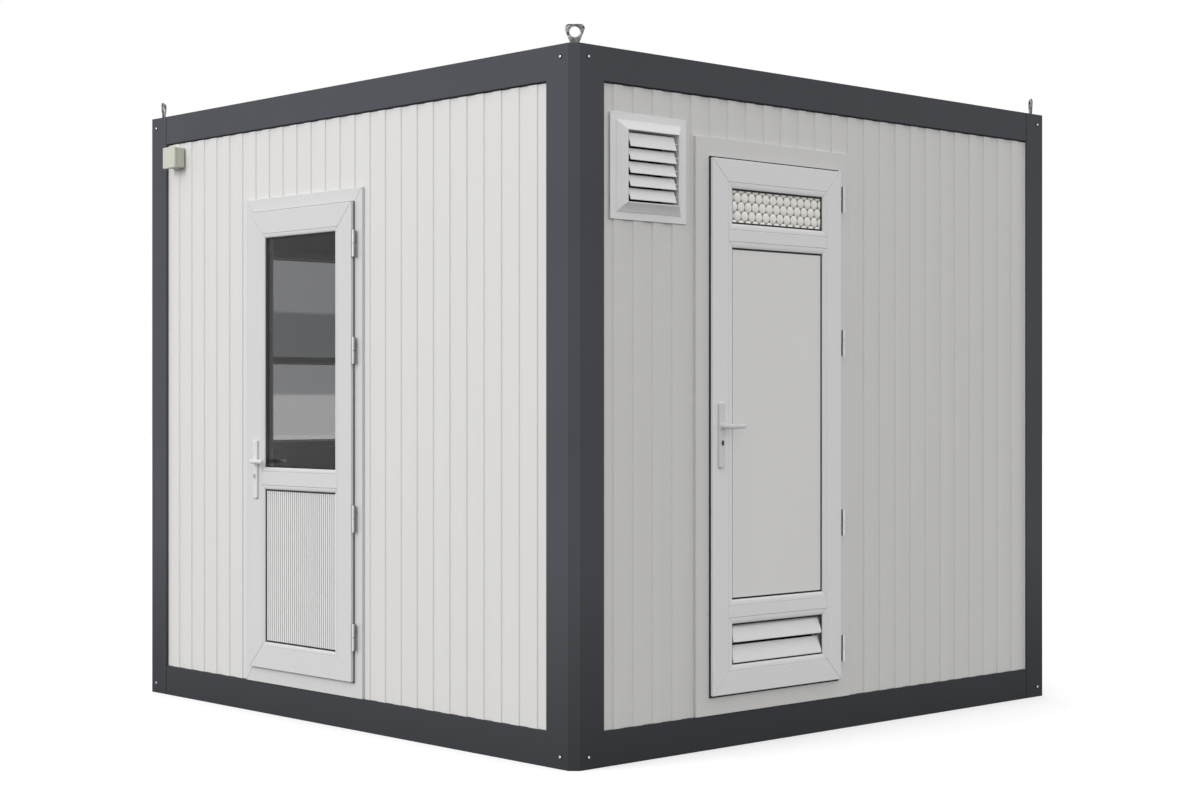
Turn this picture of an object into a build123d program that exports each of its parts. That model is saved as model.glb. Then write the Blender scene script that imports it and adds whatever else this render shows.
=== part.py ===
from build123d import *
from dataclasses import dataclass
from math import ceil, floor, hypot
import os

# Demountable guard cabin with a bolted steel frame and ribbed sandwich walls.
# Millimetres, +Z up, origin on the ground at the middle of the base.
# The entrance wall faces -Y and the washroom-door wall faces +X.

# Whole cabin
side = 2850.0
height = 2580.0

# Steel frame: four L-shaped corner posts with rails between them
post_leg = 148.0
post_chamfer = 30.5
rail_height = 129.0
frame_sheet = 4.0

# Lifting eyes on the post tops, each plate square to its corner's diagonal
eye_setback = 70.0
eye_thickness = 14.0
eye_height = 74.0
eye_top_width = 71.0
eye_base_width = 36.0
eye_base_height = 12.0
eye_corner_radius = 12.0
eye_hole_radius = 18.5
eye_hole_height = 46.0

# Wall panels with trapezoid ribs outside, set back from the face of the frame
panel_recess = 8.0
panel_thickness = 60.0
rib_pitch = 100.0
rib_top = 47.0
rib_slope = 3.0
rib_depth = 5.0
rib_shift_shares = {"front": 0.45, "right": 0.50, "back": 0.45, "left": 0.50}

# Floor, ceiling and roof, all between the rails
floor_thickness = 20.0
joist_width = 60.0
joist_count = 5
ceiling_thickness = 60.0
roof_sheet = 2.0
roof_rib_pitch = 200.0
roof_rib_base = 70.0
roof_rib_top = 34.0
roof_rib_height = 25.0

# What both doors share: casing, sash, glazing bead, hinges and handles
casing_proud = 12.0
casing_bevel = 2.0
sash_proud = 30.0
sash_depth = 60.0
sash_bevel = 4.0
sash_gap = 8.0
lip_overlap = 20.0
lip_clearance = 5.0
bead_depth = 10.0
infill_thickness = 24.0
infill_rebate = 13.0
hinge_radius = 8.0
hinge_length = 108.0
hinge_edge_gap = 6.0
hinge_split = 1.0
hinge_pin_radius = 4.0
hinge_pin_clearance = 0.4
hinge_pin_length = 40.0
hinge_web_inset = 1.0
hinge_web_thickness = 7.0
plate_width = 32.0
plate_above = 88.0
plate_below = 157.0
plate_thickness = 8.0
plate_corner = 4.0
keyhole_drop = 62.5
keyhole_length = 20.0
keyhole_width = 9.0
spindle_side = 8.0
spindle_clearance = 0.5
neck_radius = 9.0
neck_clearance = 0.4
neck_gap = 1.0
lever_length = 98.0
lever_height = 20.0
lever_thickness = 13.0
lever_reach = 43.0
lever_edge = 4.0

# Entrance door in the front wall
entrance_post_gap = 647.0
entrance_casing_width = 816.0
entrance_head_gap = 292.0
entrance_casing_cover = 25.0
entrance_jamb_reveal = 49.0
entrance_head_reveal = 56.0
entrance_sill_reveal = 64.0
entrance_stile_face = 94.0
entrance_bead_width = 17.0
entrance_mid_rail_height = 988.0
entrance_rail_face = 58.0
entrance_spindle_inset = 52.0
entrance_spindle_height = 1058.0
entrance_hinge_height_shares = (0.094, 0.340, 0.690, 0.913)
entrance_rib_pitch = 14.4
entrance_rib_groove = 9.0
entrance_rib_depth = 4.0

# Washroom door in the right wall
washroom_vent_gap = 46.0
washroom_casing_width = 881.0
washroom_head_gap = 150.0
washroom_casing_cover = 48.0
washroom_jamb_reveal = 72.0
washroom_head_reveal = 77.0
washroom_sill_reveal = 74.0
washroom_stile_face = 86.0
washroom_bead_width = 23.0
washroom_transom_drop = 288.0
washroom_low_rail_height = 513.0
washroom_rail_face = 45.0
washroom_spindle_inset = 44.0
washroom_spindle_height = 1215.0
washroom_hinge_height_shares = (0.060, 0.308, 0.662, 0.945)
louvre_blade_count = 2
louvre_proud = 6.0
louvre_blade_reach = 30.0
louvre_lip = 8.0
louvre_blade_thickness = 5.0
louvre_overlap = 6.0
louvre_end_gap = 5.0
louvre_pivot = 4.0

# Vent grille high on the right wall
vent_post_gap = 33.0
vent_top_gap = 98.0
vent_size = 387.0
vent_rim = 28.0
vent_bevel = 36.0
vent_flange = 5.0
vent_rise = 28.0
vent_sleeve = 4.0
vent_edge = 3.0
vent_blade_count = 5
vent_blade_reach = 18.0
vent_blade_drop = 46.0
vent_blade_lip = 5.0
vent_blade_thickness = 3.0
vent_blade_inset = 1.0
vent_blade_margin = 8.0
vent_blade_end_gap = 12.0
vent_pivot = 4.0

# Junction box high on the front wall
box_post_gap = 48.0
box_top_gap = 19.0
box_width = 98.0
box_tall = 93.0
box_depth = 55.0
box_lid = 14.0
box_lid_step = 2.5
box_edge = 5.0

# Window in the left wall
window_width = 1850.0
window_bottom = 1064.0
window_head_gap = 413.0
window_cover = 25.0
window_face = 50.0
window_bar_height_share = 0.442
window_bar = 22.0
window_infill_depth = 24.0

# Worked out from the sizes above
half_side = side / 2
panel_face = half_side - panel_recess
frame_depth = panel_recess + panel_thickness
room_half = half_side - frame_depth
wall_half = half_side - post_leg
panel_bottom = rail_height
panel_top = height - rail_height
sash_back = sash_depth - sash_proud
glazing_front = sash_proud - bead_depth
lip_back = casing_proud + lip_clearance
vent_opening = vent_size - 2 * (vent_rim + vent_bevel)
vent_centre = -wall_half + vent_post_gap + vent_size / 2
vent_height = panel_top - vent_top_gap - vent_size / 2
washroom_post_gap = vent_post_gap + vent_size + washroom_vent_gap
box_centre = -wall_half + box_post_gap + box_width / 2
box_height = panel_top - box_top_gap - box_tall / 2
window_top = panel_top - window_head_gap

# Outward and along directions of each wall, as seen from outside
wall_directions = {
    "front": (Vector(0, -1, 0), Vector(1, 0, 0)),
    "right": (Vector(1, 0, 0), Vector(0, 1, 0)),
    "back": (Vector(0, 1, 0), Vector(-1, 0, 0)),
    "left": (Vector(-1, 0, 0), Vector(0, -1, 0)),
}

# Inward direction of the first leg of each corner post
post_corners = {
    "front_left": (Vector(-1, -1, 0), Vector(1, 0, 0)),
    "front_right": (Vector(1, -1, 0), Vector(0, 1, 0)),
    "back_right": (Vector(1, 1, 0), Vector(-1, 0, 0)),
    "back_left": (Vector(-1, 1, 0), Vector(0, -1, 0)),
}


def wall_face(wall, out=0.0):
    """Plane of a wall's panels: x along the wall, y up, z outward, moved out by the given amount."""
    outward, along = wall_directions[wall]
    return Plane(origin=outward * (panel_face + out), x_dir=along, z_dir=outward)


def wall_plan(wall, level=0.0):
    """Level plane at a wall: x along the wall, y inward from the panel face, z up."""
    outward, along = wall_directions[wall]
    return Plane(origin=outward * panel_face + Vector(0, 0, level), x_dir=along, z_dir=(0, 0, 1))


def wall_section(wall, along_wall):
    """Upright plane across a wall: x outward from the panel face, y up."""
    outward, along = wall_directions[wall]
    return Plane(origin=outward * panel_face + along * along_wall, x_dir=outward, z_dir=along * -1)


def front_face(part, wall):
    """Face that lies furthest out from a wall."""
    outward = wall_directions[wall][0]
    return part.faces().sort_by(Axis((0, 0, 0), outward))[-1]


def front_edges(part, wall):
    """Outer edges of the face that lies furthest out from a wall."""
    return front_face(part, wall).outer_wire().edges()


def save(part, name):
    """Label a finished piece and write it to its own file."""
    part.label = name
    export_step(part, f"parts/{name}.step")


@dataclass
class Door:
    """Sizes of one door, measured along its wall and up from the ground."""

    wall: str
    post_gap: float
    casing_width: float
    head_gap: float
    casing_cover: float
    jamb_reveal: float
    head_reveal: float
    sill_reveal: float
    stile_face: float
    bead_width: float
    rail_face: float
    rail_heights: tuple
    spindle_inset: float
    spindle_height: float
    hinge_shares: tuple

    def __post_init__(self):
        """Work out the edges of the sash and its openings."""
        self.centre = -wall_half + self.post_gap + self.casing_width / 2
        self.casing_top = panel_top - self.head_gap
        self.sash_half = self.casing_width / 2 - self.jamb_reveal
        self.sash_bottom = rail_height + self.sill_reveal
        self.sash_top = self.casing_top - self.head_reveal
        self.hole_half = self.casing_width / 2 - self.casing_cover
        self.hole_top = self.casing_top - self.casing_cover
        self.hinge_line = self.centre + self.sash_half + hinge_edge_gap + hinge_radius
        self.spindle_line = self.centre - self.sash_half + self.spindle_inset
        self.opening_width = 2 * (self.sash_half - self.stile_face - self.bead_width)
        edge = self.stile_face + self.bead_width
        rail_edge = self.rail_face / 2 + self.bead_width
        bottoms = [self.sash_bottom + edge] + [level + rail_edge for level in self.rail_heights]
        tops = [level - rail_edge for level in self.rail_heights] + [self.sash_top - edge]
        self.openings = list(zip(bottoms, tops))

    def hinge_levels(self):
        """Middle height of each hinge."""
        sash_height = self.sash_top - self.sash_bottom
        return [self.sash_bottom + share * sash_height for share in self.hinge_shares]


entrance = Door(
    wall="front", post_gap=entrance_post_gap, casing_width=entrance_casing_width,
    head_gap=entrance_head_gap, casing_cover=entrance_casing_cover,
    jamb_reveal=entrance_jamb_reveal, head_reveal=entrance_head_reveal,
    sill_reveal=entrance_sill_reveal, stile_face=entrance_stile_face,
    bead_width=entrance_bead_width, rail_face=entrance_rail_face,
    rail_heights=(entrance_mid_rail_height,), spindle_inset=entrance_spindle_inset,
    spindle_height=entrance_spindle_height, hinge_shares=entrance_hinge_height_shares,
)
washroom_transom_height = panel_top - washroom_head_gap - washroom_head_reveal - washroom_transom_drop
washroom = Door(
    wall="right", post_gap=washroom_post_gap, casing_width=washroom_casing_width,
    head_gap=washroom_head_gap, casing_cover=washroom_casing_cover,
    jamb_reveal=washroom_jamb_reveal, head_reveal=washroom_head_reveal,
    sill_reveal=washroom_sill_reveal, stile_face=washroom_stile_face,
    bead_width=washroom_bead_width, rail_face=washroom_rail_face,
    rail_heights=(washroom_low_rail_height, washroom_transom_height),
    spindle_inset=washroom_spindle_inset, spindle_height=washroom_spindle_height,
    hinge_shares=washroom_hinge_height_shares,
)


def corner_post(corner):
    """Folded L-shaped post with a chamfered outer corner, capped at the top and open below."""
    outward, leg = post_corners[corner]
    base = Plane(origin=outward * half_side, x_dir=leg, z_dir=(0, 0, 1))
    with BuildPart() as post:
        with BuildSketch(base) as outline:
            with BuildLine():
                Polyline(
                    (post_chamfer, 0), (post_leg, 0), (post_leg, frame_depth),
                    (frame_depth, frame_depth), (frame_depth, post_leg), (0, post_leg),
                    (0, post_chamfer), close=True,
                )
            make_face()
        extrude(amount=height)
        with BuildSketch(base):
            add(outline.sketch_local)
            offset(amount=-frame_sheet, kind=Kind.INTERSECTION, mode=Mode.REPLACE)
        extrude(amount=height - frame_sheet, mode=Mode.SUBTRACT)
    return post.part


def rails(bottom):
    """Four hollow rails at one level, each butted between two posts."""
    with BuildPart() as ring:
        for wall in wall_directions:
            with BuildSketch(wall_face(wall, panel_recess)):
                with Locations((0, bottom + rail_height / 2)):
                    Rectangle(2 * wall_half, rail_height)
            extrude(amount=-frame_depth)
        for wall in wall_directions:
            with BuildSketch(wall_face(wall, panel_recess - frame_sheet)):
                with Locations((0, bottom + rail_height / 2)):
                    Rectangle(2 * wall_half, rail_height - 2 * frame_sheet)
            extrude(amount=2 * frame_sheet - frame_depth, mode=Mode.SUBTRACT)
    return ring.part


def lifting_eyes():
    """Four plates with a hauling hole, one on each post top."""
    with BuildPart() as eyes:
        for outward, leg in post_corners.values():
            foot = outward * half_side - outward.normalized() * eye_setback + Vector(0, 0, height)
            across = Vector(0, 0, 1).cross(outward)
            with BuildSketch(Plane(origin=foot, x_dir=across, z_dir=outward)):
                with Locations((0, eye_base_height / 2)):
                    Rectangle(eye_base_width, eye_base_height)
                shoulder = eye_top_width / 2 - eye_corner_radius
                with Locations((-shoulder, eye_height - eye_corner_radius),
                               (shoulder, eye_height - eye_corner_radius)):
                    Circle(eye_corner_radius)
                make_hull()
                with Locations((0, eye_hole_height)):
                    Circle(eye_hole_radius, mode=Mode.SUBTRACT)
            extrude(amount=eye_thickness / 2, both=True)
    return eyes.part


def valley_places(wall, start, end):
    """Middles of the valleys between the ribs that reach into a stretch of wall."""
    shift = rib_shift_shares[wall]
    first = floor(start / rib_pitch - shift)
    last = ceil(end / rib_pitch - shift)
    return [(rib_pitch * (number + shift), 0) for number in range(first, last + 1)]


def panel_piece(wall, start, end, bottom, top):
    """Stretch of sandwich wall whose outer sheet has upright trapezoid ribs."""
    mouth = rib_pitch - rib_top
    foot = mouth - 2 * rib_slope
    with BuildPart() as piece:
        with BuildSketch(wall_plan(wall, bottom)):
            with Locations(((start + end) / 2, panel_thickness / 2)):
                Rectangle(end - start, panel_thickness)
            with Locations(*valley_places(wall, start, end)):
                Polygon((-mouth / 2, 0), (mouth / 2, 0), (foot / 2, rib_depth), (-foot / 2, rib_depth),
                        align=None, mode=Mode.SUBTRACT)
        extrude(amount=top - bottom)
    return piece.part


def vented_panel(start, end):
    """Stretch of the right wall that the vent's sleeve passes through."""
    with BuildPart() as piece:
        add(panel_piece("right", start, end, panel_bottom, panel_top))
        with BuildSketch(wall_face("right")):
            with Locations((vent_centre, vent_height)):
                Rectangle(vent_opening + 2 * vent_sleeve, vent_opening + 2 * vent_sleeve)
        extrude(amount=-panel_thickness, mode=Mode.SUBTRACT)
    return piece.part


def floor_joists():
    """Row of joists under the floor, from the front rail to the back rail."""
    spacing = 2 * room_half / (joist_count + 1)
    with BuildPart() as joists:
        with BuildSketch():
            with GridLocations(spacing, 0, joist_count, 1):
                Rectangle(joist_width, 2 * room_half)
        extrude(amount=rail_height - floor_thickness)
    return joists.part


def level_board(bottom, thickness):
    """Square board that fills the frame from rail to rail."""
    with BuildPart() as board:
        with BuildSketch(Plane.XY.offset(bottom)):
            Rectangle(2 * room_half, 2 * room_half)
        extrude(amount=thickness)
    return board.part


def roof_cover():
    """Profiled roof sheet with hollow ribs, lying on the ceiling panel."""
    level = panel_top + ceiling_thickness
    count = floor(2 * room_half / roof_rib_pitch)
    rib_rows = GridLocations(roof_rib_pitch, 0, count, 1)
    with BuildPart() as cover:
        with BuildSketch(Plane(origin=(0, room_half, level), x_dir=(-1, 0, 0), z_dir=(0, 1, 0))):
            with Locations((0, roof_sheet / 2)):
                Rectangle(2 * room_half, roof_sheet)
            with rib_rows:
                Polygon((-roof_rib_base / 2, 0), (roof_rib_base / 2, 0),
                        (roof_rib_top / 2, roof_rib_height), (-roof_rib_top / 2, roof_rib_height),
                        align=None)
            with rib_rows:
                inner_base = roof_rib_base / 2 - roof_sheet
                inner_top = roof_rib_top / 2 - roof_sheet
                Polygon((-inner_base, 0), (inner_base, 0), (inner_top, roof_rib_height - roof_sheet),
                        (-inner_top, roof_rib_height - roof_sheet), align=None, mode=Mode.SUBTRACT)
        extrude(amount=-2 * room_half)
    return cover.part


def door_casing(door):
    """Fixed frame of a door: a body through the wall and a flange over the panels."""
    jamb_half = door.sash_half - lip_overlap
    clear_bottom = door.sash_bottom + lip_overlap
    clear_top = door.sash_top - lip_overlap
    with BuildPart() as casing:
        with BuildSketch(wall_face(door.wall, -panel_thickness)):
            with Locations((door.centre, (panel_bottom + door.hole_top) / 2)):
                Rectangle(2 * door.hole_half, door.hole_top - panel_bottom)
        extrude(amount=panel_thickness + casing_proud)
        with BuildSketch(wall_face(door.wall)):
            with Locations((door.centre, (panel_bottom + door.casing_top) / 2)):
                Rectangle(door.casing_width, door.casing_top - panel_bottom)
        extrude(amount=casing_proud)
        chamfer(front_edges(casing, door.wall), casing_bevel)
        with BuildSketch(wall_face(door.wall, casing_proud)):
            with Locations((door.centre, (clear_bottom + clear_top) / 2)):
                Rectangle(2 * jamb_half, clear_top - clear_bottom)
        extrude(amount=-panel_thickness - casing_proud, mode=Mode.SUBTRACT)
    return casing.part


def door_leaf(door, glazed):
    """Sash with a lip over the casing, sloped glazing beads and rebates for what fills its openings."""
    body_half = door.sash_half - lip_overlap - sash_gap
    middle = (door.sash_bottom + door.sash_top) / 2
    sash_height = door.sash_top - door.sash_bottom
    with BuildPart() as leaf:
        with BuildSketch(wall_face(door.wall, sash_proud)):
            with Locations((door.centre, middle)):
                Rectangle(2 * body_half, sash_height - 2 * (lip_overlap + sash_gap))
        extrude(amount=-sash_depth)
        with BuildSketch(wall_face(door.wall, sash_proud)):
            with Locations((door.centre, middle)):
                Rectangle(2 * door.sash_half, sash_height)
        extrude(amount=lip_back - sash_proud)
        chamfer(front_edges(leaf, door.wall), sash_bevel)
        with BuildSketch(wall_face(door.wall, sash_proud)):
            for bottom, top in door.openings:
                with Locations((door.centre, (bottom + top) / 2)):
                    Rectangle(door.opening_width, top - bottom)
        extrude(amount=-sash_depth, mode=Mode.SUBTRACT)
        face = front_face(leaf, door.wall)
        rims = [edge for wire in face.inner_wires() for edge in wire.edges()]
        chamfer(rims, length=door.bead_width, length2=bead_depth, reference=face)
        with BuildSketch(wall_face(door.wall, glazing_front)):
            for (bottom, top), has_infill in zip(door.openings, glazed):
                if has_infill:
                    with Locations((door.centre, (bottom + top) / 2)):
                        Rectangle(door.opening_width + 2 * infill_rebate, top - bottom + 2 * infill_rebate)
        extrude(amount=-infill_thickness, mode=Mode.SUBTRACT)
        with BuildSketch(wall_face(door.wall, sash_proud)):
            with Locations((door.spindle_line, door.spindle_height)):
                Circle(hypot(spindle_side, spindle_side) / 2 + spindle_clearance)
        extrude(amount=-sash_depth, mode=Mode.SUBTRACT)
    return leaf.part


def infill(door, number):
    """Flat pane or panel seated in the rebate of one opening of a sash."""
    bottom, top = door.openings[number]
    with BuildPart() as pane:
        with BuildSketch(wall_face(door.wall, glazing_front)):
            with Locations((door.centre, (bottom + top) / 2)):
                Rectangle(door.opening_width + 2 * infill_rebate, top - bottom + 2 * infill_rebate)
        extrude(amount=-infill_thickness)
    return pane.part


def ribbed_infill(door, number):
    """Panel of upright flutes seated in the rebate of one opening of a sash."""
    bottom, top = door.openings[number]
    count = floor((door.opening_width - entrance_rib_groove) / entrance_rib_pitch)
    with BuildPart() as panel:
        add(infill(door, number))
        with BuildSketch(wall_plan(door.wall, bottom)):
            with Locations((door.centre, -glazing_front)):
                with GridLocations(entrance_rib_pitch, 0, count, 1):
                    Polygon((-entrance_rib_groove / 2, 0), (entrance_rib_groove / 2, 0),
                            (0, entrance_rib_depth), align=None)
        extrude(amount=top - bottom, mode=Mode.SUBTRACT)
    return panel.part


def hinge_pins(door):
    """Lower hinge halves on the casing, each a knuckle on a web with an upright pin."""
    knuckle = (hinge_length - hinge_split) / 2
    with BuildPart() as pins:
        for level in door.hinge_levels():
            plan = wall_plan(door.wall, level - hinge_length / 2)
            with BuildSketch(plan):
                with Locations((door.hinge_line, -sash_proud)):
                    Circle(hinge_radius)
                with Locations((door.hinge_line, -(casing_proud + sash_proud) / 2)):
                    Rectangle(2 * hinge_radius, sash_proud - casing_proud)
            extrude(amount=knuckle)
            with BuildSketch(plan.offset(knuckle)):
                with Locations((door.hinge_line, -sash_proud)):
                    Circle(hinge_pin_radius)
            extrude(amount=hinge_pin_length)
    return pins.part


def hinge_sleeves(door):
    """Upper hinge halves on the sash, each a bored knuckle on a web that meets the edge of the lip."""
    knuckle = (hinge_length - hinge_split) / 2
    sash_edge = door.centre + door.sash_half
    web_out = lip_back + hinge_web_inset + hinge_web_thickness / 2
    with BuildPart() as sleeves:
        for level in door.hinge_levels():
            plan = wall_plan(door.wall, level + hinge_split / 2)
            with BuildSketch(plan):
                with Locations((door.hinge_line, -sash_proud)):
                    Circle(hinge_radius)
                with Locations(((sash_edge + door.hinge_line) / 2, -web_out)):
                    Rectangle(door.hinge_line - sash_edge, hinge_web_thickness)
            extrude(amount=knuckle)
            with BuildSketch(plan):
                with Locations((door.hinge_line, -sash_proud)):
                    Circle(hinge_pin_radius + hinge_pin_clearance)
            extrude(amount=hinge_pin_length + hinge_split, mode=Mode.SUBTRACT)
    return sleeves.part


def handle_plates(door):
    """Long backplates on both faces of a sash, with a spindle hole and a keyhole."""
    middle = door.spindle_height + (plate_above - plate_below) / 2
    with BuildPart() as plates:
        for out, thickness in ((sash_proud, plate_thickness), (-sash_back, -plate_thickness)):
            with BuildSketch(wall_face(door.wall, out)) as plate:
                with Locations((door.spindle_line, middle)):
                    Rectangle(plate_width, plate_above + plate_below)
                chamfer(plate.vertices(), plate_corner)
                with Locations((door.spindle_line, door.spindle_height)):
                    Circle(neck_radius + neck_clearance, mode=Mode.SUBTRACT)
                with Locations((door.spindle_line, door.spindle_height - keyhole_drop)):
                    Rectangle(keyhole_width, keyhole_length, mode=Mode.SUBTRACT)
            extrude(amount=thickness)
    return plates.part


def lever_set(door):
    """Lever handles of both faces, joined by the square spindle that runs through the sash."""
    with BuildPart() as levers:
        with BuildSketch(wall_face(door.wall, -sash_back - neck_gap)):
            with Locations((door.spindle_line, door.spindle_height)):
                Rectangle(spindle_side, spindle_side)
        extrude(amount=sash_depth + 2 * neck_gap)
        for face, way in ((sash_proud, 1), (-sash_back, -1)):
            with BuildSketch(wall_face(door.wall, face + way * neck_gap)):
                with Locations((door.spindle_line, door.spindle_height)):
                    Circle(neck_radius)
            extrude(amount=way * (lever_reach - lever_thickness / 2 - neck_gap))
        for face, way in ((sash_proud, 1), (-sash_back, -1)):
            with BuildSketch(wall_face(door.wall, face + way * (lever_reach - lever_thickness))):
                bar_middle = door.spindle_line + (lever_length - lever_height / 2) / 2
                with Locations((bar_middle, door.spindle_height)):
                    SlotOverall(lever_length + lever_height / 2, lever_height)
            extrude(amount=way * lever_thickness)
        outward = wall_directions[door.wall][0]
        ends = levers.faces().sort_by(Axis((0, 0, 0), outward))
        chamfer(ends[-1].edges() + ends[0].edges(), lever_edge)
    return levers.part


def louvre_blade_profile(front, foot, reach, drop, lip, thickness):
    """Outline of one blade, seen from its end: a sloped sheet with an upright lip at its lower edge."""
    slope = drop / reach
    skin = thickness * hypot(1, slope)
    bend = foot + lip
    return [
        (front, foot), (front, bend), (front - reach, bend + drop),
        (front - reach, bend + drop - skin), (front - thickness, bend + slope * thickness - skin),
        (front - thickness, foot),
    ]


def louvre_blades(wall, middle, width, end_gap, pivot, feet, profile_sizes):
    """Row of like blades across an opening, each on a square pivot that reaches both jambs."""
    with BuildPart() as blades:
        for foot in feet:
            profile = louvre_blade_profile(foot=foot, **profile_sizes)
            front, bend = profile[1]
            back, low_edge = profile[3]
            with BuildSketch(wall_section(wall, middle)):
                Polygon(*profile, align=None)
            extrude(amount=width / 2 - end_gap, both=True)
            with BuildSketch(wall_section(wall, middle)):
                with Locations(((front + back) / 2, (bend + low_edge) / 2)):
                    Rectangle(pivot, pivot)
            extrude(amount=width / 2, both=True)
    return blades.part


def door_louvre(door, number):
    """Ventilating blades across the lowest opening of a sash."""
    bottom, top = door.openings[number]
    pitch = (top - bottom) / louvre_blade_count
    sizes = {
        "front": glazing_front + louvre_proud, "reach": louvre_blade_reach, "drop": pitch - louvre_lip - louvre_overlap,
        "lip": louvre_lip, "thickness": louvre_blade_thickness,
    }
    feet = [bottom + number * pitch + louvre_overlap for number in range(louvre_blade_count)]
    return louvre_blades(door.wall, door.centre, door.opening_width, louvre_end_gap, louvre_pivot, feet, sizes)


def vent_frame():
    """Moulded vent surround: a flat rim, a raised bevel and a sleeve through the wall."""
    place = Locations((vent_centre, vent_height))
    raised = vent_size - 2 * vent_rim
    with BuildPart() as surround:
        with BuildSketch(wall_face("right")):
            with place:
                Rectangle(vent_size, vent_size)
        extrude(amount=vent_flange)
        with BuildSketch(wall_face("right", vent_flange)):
            with place:
                Rectangle(raised, raised)
        extrude(amount=vent_rise)
        chamfer(front_edges(surround, "right"), length=vent_bevel - vent_edge, length2=vent_rise - vent_edge,
                reference=front_face(surround, "right"))
        with BuildSketch(wall_face("right")):
            with place:
                Rectangle(vent_opening + 2 * vent_sleeve, vent_opening + 2 * vent_sleeve)
        extrude(amount=-panel_thickness)
        with BuildSketch(wall_face("right", vent_flange + vent_rise)):
            with place:
                Rectangle(vent_opening, vent_opening)
        extrude(amount=-vent_flange - vent_rise - panel_thickness, mode=Mode.SUBTRACT)
    return surround.part


def vent_blades():
    """Five sloped blades in the mouth of the vent."""
    blade_height = vent_blade_lip + vent_blade_drop
    pitch = (vent_opening - 2 * vent_blade_margin - blade_height) / (vent_blade_count - 1)
    lowest = vent_height - vent_opening / 2 + vent_blade_margin
    sizes = {
        "front": vent_flange + vent_rise - vent_blade_inset, "reach": vent_blade_reach,
        "drop": vent_blade_drop, "lip": vent_blade_lip, "thickness": vent_blade_thickness,
    }
    feet = [lowest + number * pitch for number in range(vent_blade_count)]
    return louvre_blades("right", vent_centre, vent_opening, vent_blade_end_gap, vent_pivot, feet, sizes)


def junction_box():
    """Small cable box with a stepped lid."""
    with BuildPart() as box:
        with BuildSketch(wall_face("front")):
            with Locations((box_centre, box_height)):
                Rectangle(box_width - 2 * box_lid_step, box_tall - 2 * box_lid_step)
        extrude(amount=box_depth - box_lid)
        with BuildSketch(wall_face("front", box_depth - box_lid)):
            with Locations((box_centre, box_height)):
                Rectangle(box_width, box_tall)
        extrude(amount=box_lid)
        chamfer(front_edges(box, "front"), box_edge)
    return box.part


window_light_height = window_top - window_bottom - 2 * window_face
window_bar_height = window_bottom + window_face + window_bar_height_share * window_light_height
window_lights = (
    (window_bottom + window_face, window_bar_height - window_bar / 2),
    (window_bar_height + window_bar / 2, window_top - window_face),
)
window_light_width = window_width - 2 * window_face


def window_frame():
    """Fixed window frame through the wall, with one slim level bar."""
    body_width = window_width - 2 * window_cover
    body_height = window_top - window_bottom - 2 * window_cover
    middle = (window_bottom + window_top) / 2
    with BuildPart() as surround:
        with BuildSketch(wall_face("left", -panel_thickness)):
            with Locations((0, middle)):
                Rectangle(body_width, body_height)
        extrude(amount=panel_thickness + casing_proud)
        with BuildSketch(wall_face("left")):
            with Locations((0, middle)):
                Rectangle(window_width, window_top - window_bottom)
        extrude(amount=casing_proud)
        chamfer(front_edges(surround, "left"), casing_bevel)
        for bottom, top in window_lights:
            with BuildSketch(wall_face("left", casing_proud)):
                with Locations((0, (bottom + top) / 2)):
                    Rectangle(window_light_width, top - bottom)
            extrude(amount=-panel_thickness - casing_proud, mode=Mode.SUBTRACT)
    return surround.part


def window_glass():
    """One sealed pane above the bar and one below it."""
    with BuildPart() as panes:
        for bottom, top in window_lights:
            with BuildSketch(wall_face("left", -(panel_thickness - window_infill_depth) / 2)):
                with Locations((0, (bottom + top) / 2)):
                    Rectangle(window_light_width, top - bottom)
            extrude(amount=-window_infill_depth)
    return panes.part


os.makedirs("parts", exist_ok=True)

for corner in post_corners:
    save(corner_post(corner), f"post_{corner}")
save(rails(0.0), "bottom_rails")
save(rails(panel_top), "top_rails")
save(lifting_eyes(), "lifting_eyes")

save(floor_joists(), "floor_joists")
save(level_board(rail_height - floor_thickness, floor_thickness), "floor_panel")
save(level_board(panel_top, ceiling_thickness), "ceiling_panel")
save(roof_cover(), "roof_sheet")

entrance_left = entrance.centre - entrance.hole_half
entrance_right = entrance.centre + entrance.hole_half
save(panel_piece("front", -wall_half, entrance_left, panel_bottom, panel_top), "front_wall_left")
save(panel_piece("front", entrance_right, wall_half, panel_bottom, panel_top), "front_wall_right")
save(panel_piece("front", entrance_left, entrance_right, entrance.hole_top, panel_top),
     "front_wall_over_door")

washroom_left = washroom.centre - washroom.hole_half
washroom_right = washroom.centre + washroom.hole_half
save(vented_panel(-wall_half, washroom_left), "right_wall_front")
save(panel_piece("right", washroom_right, wall_half, panel_bottom, panel_top), "right_wall_back")
save(panel_piece("right", washroom_left, washroom_right, washroom.hole_top, panel_top),
     "right_wall_over_door")

window_hole_half = window_width / 2 - window_cover
save(panel_piece("left", -wall_half, -window_hole_half, panel_bottom, panel_top), "left_wall_back")
save(panel_piece("left", window_hole_half, wall_half, panel_bottom, panel_top), "left_wall_front")
save(panel_piece("left", -window_hole_half, window_hole_half, panel_bottom, window_bottom + window_cover),
     "left_wall_under_window")
save(panel_piece("left", -window_hole_half, window_hole_half, window_top - window_cover, panel_top),
     "left_wall_over_window")
save(panel_piece("back", -wall_half, wall_half, panel_bottom, panel_top), "back_wall")

save(door_casing(entrance), "entrance_frame")
save(door_leaf(entrance, (True, True)), "entrance_leaf")
save(ribbed_infill(entrance, 0), "entrance_lower_panel")
save(infill(entrance, 1), "entrance_glass")
save(door_casing(washroom), "washroom_frame")
save(door_leaf(washroom, (False, True, True)), "washroom_leaf")
save(door_louvre(washroom, 0), "washroom_louvre")
save(infill(washroom, 1), "washroom_panel")
save(infill(washroom, 2), "washroom_transom_glass")

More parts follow.
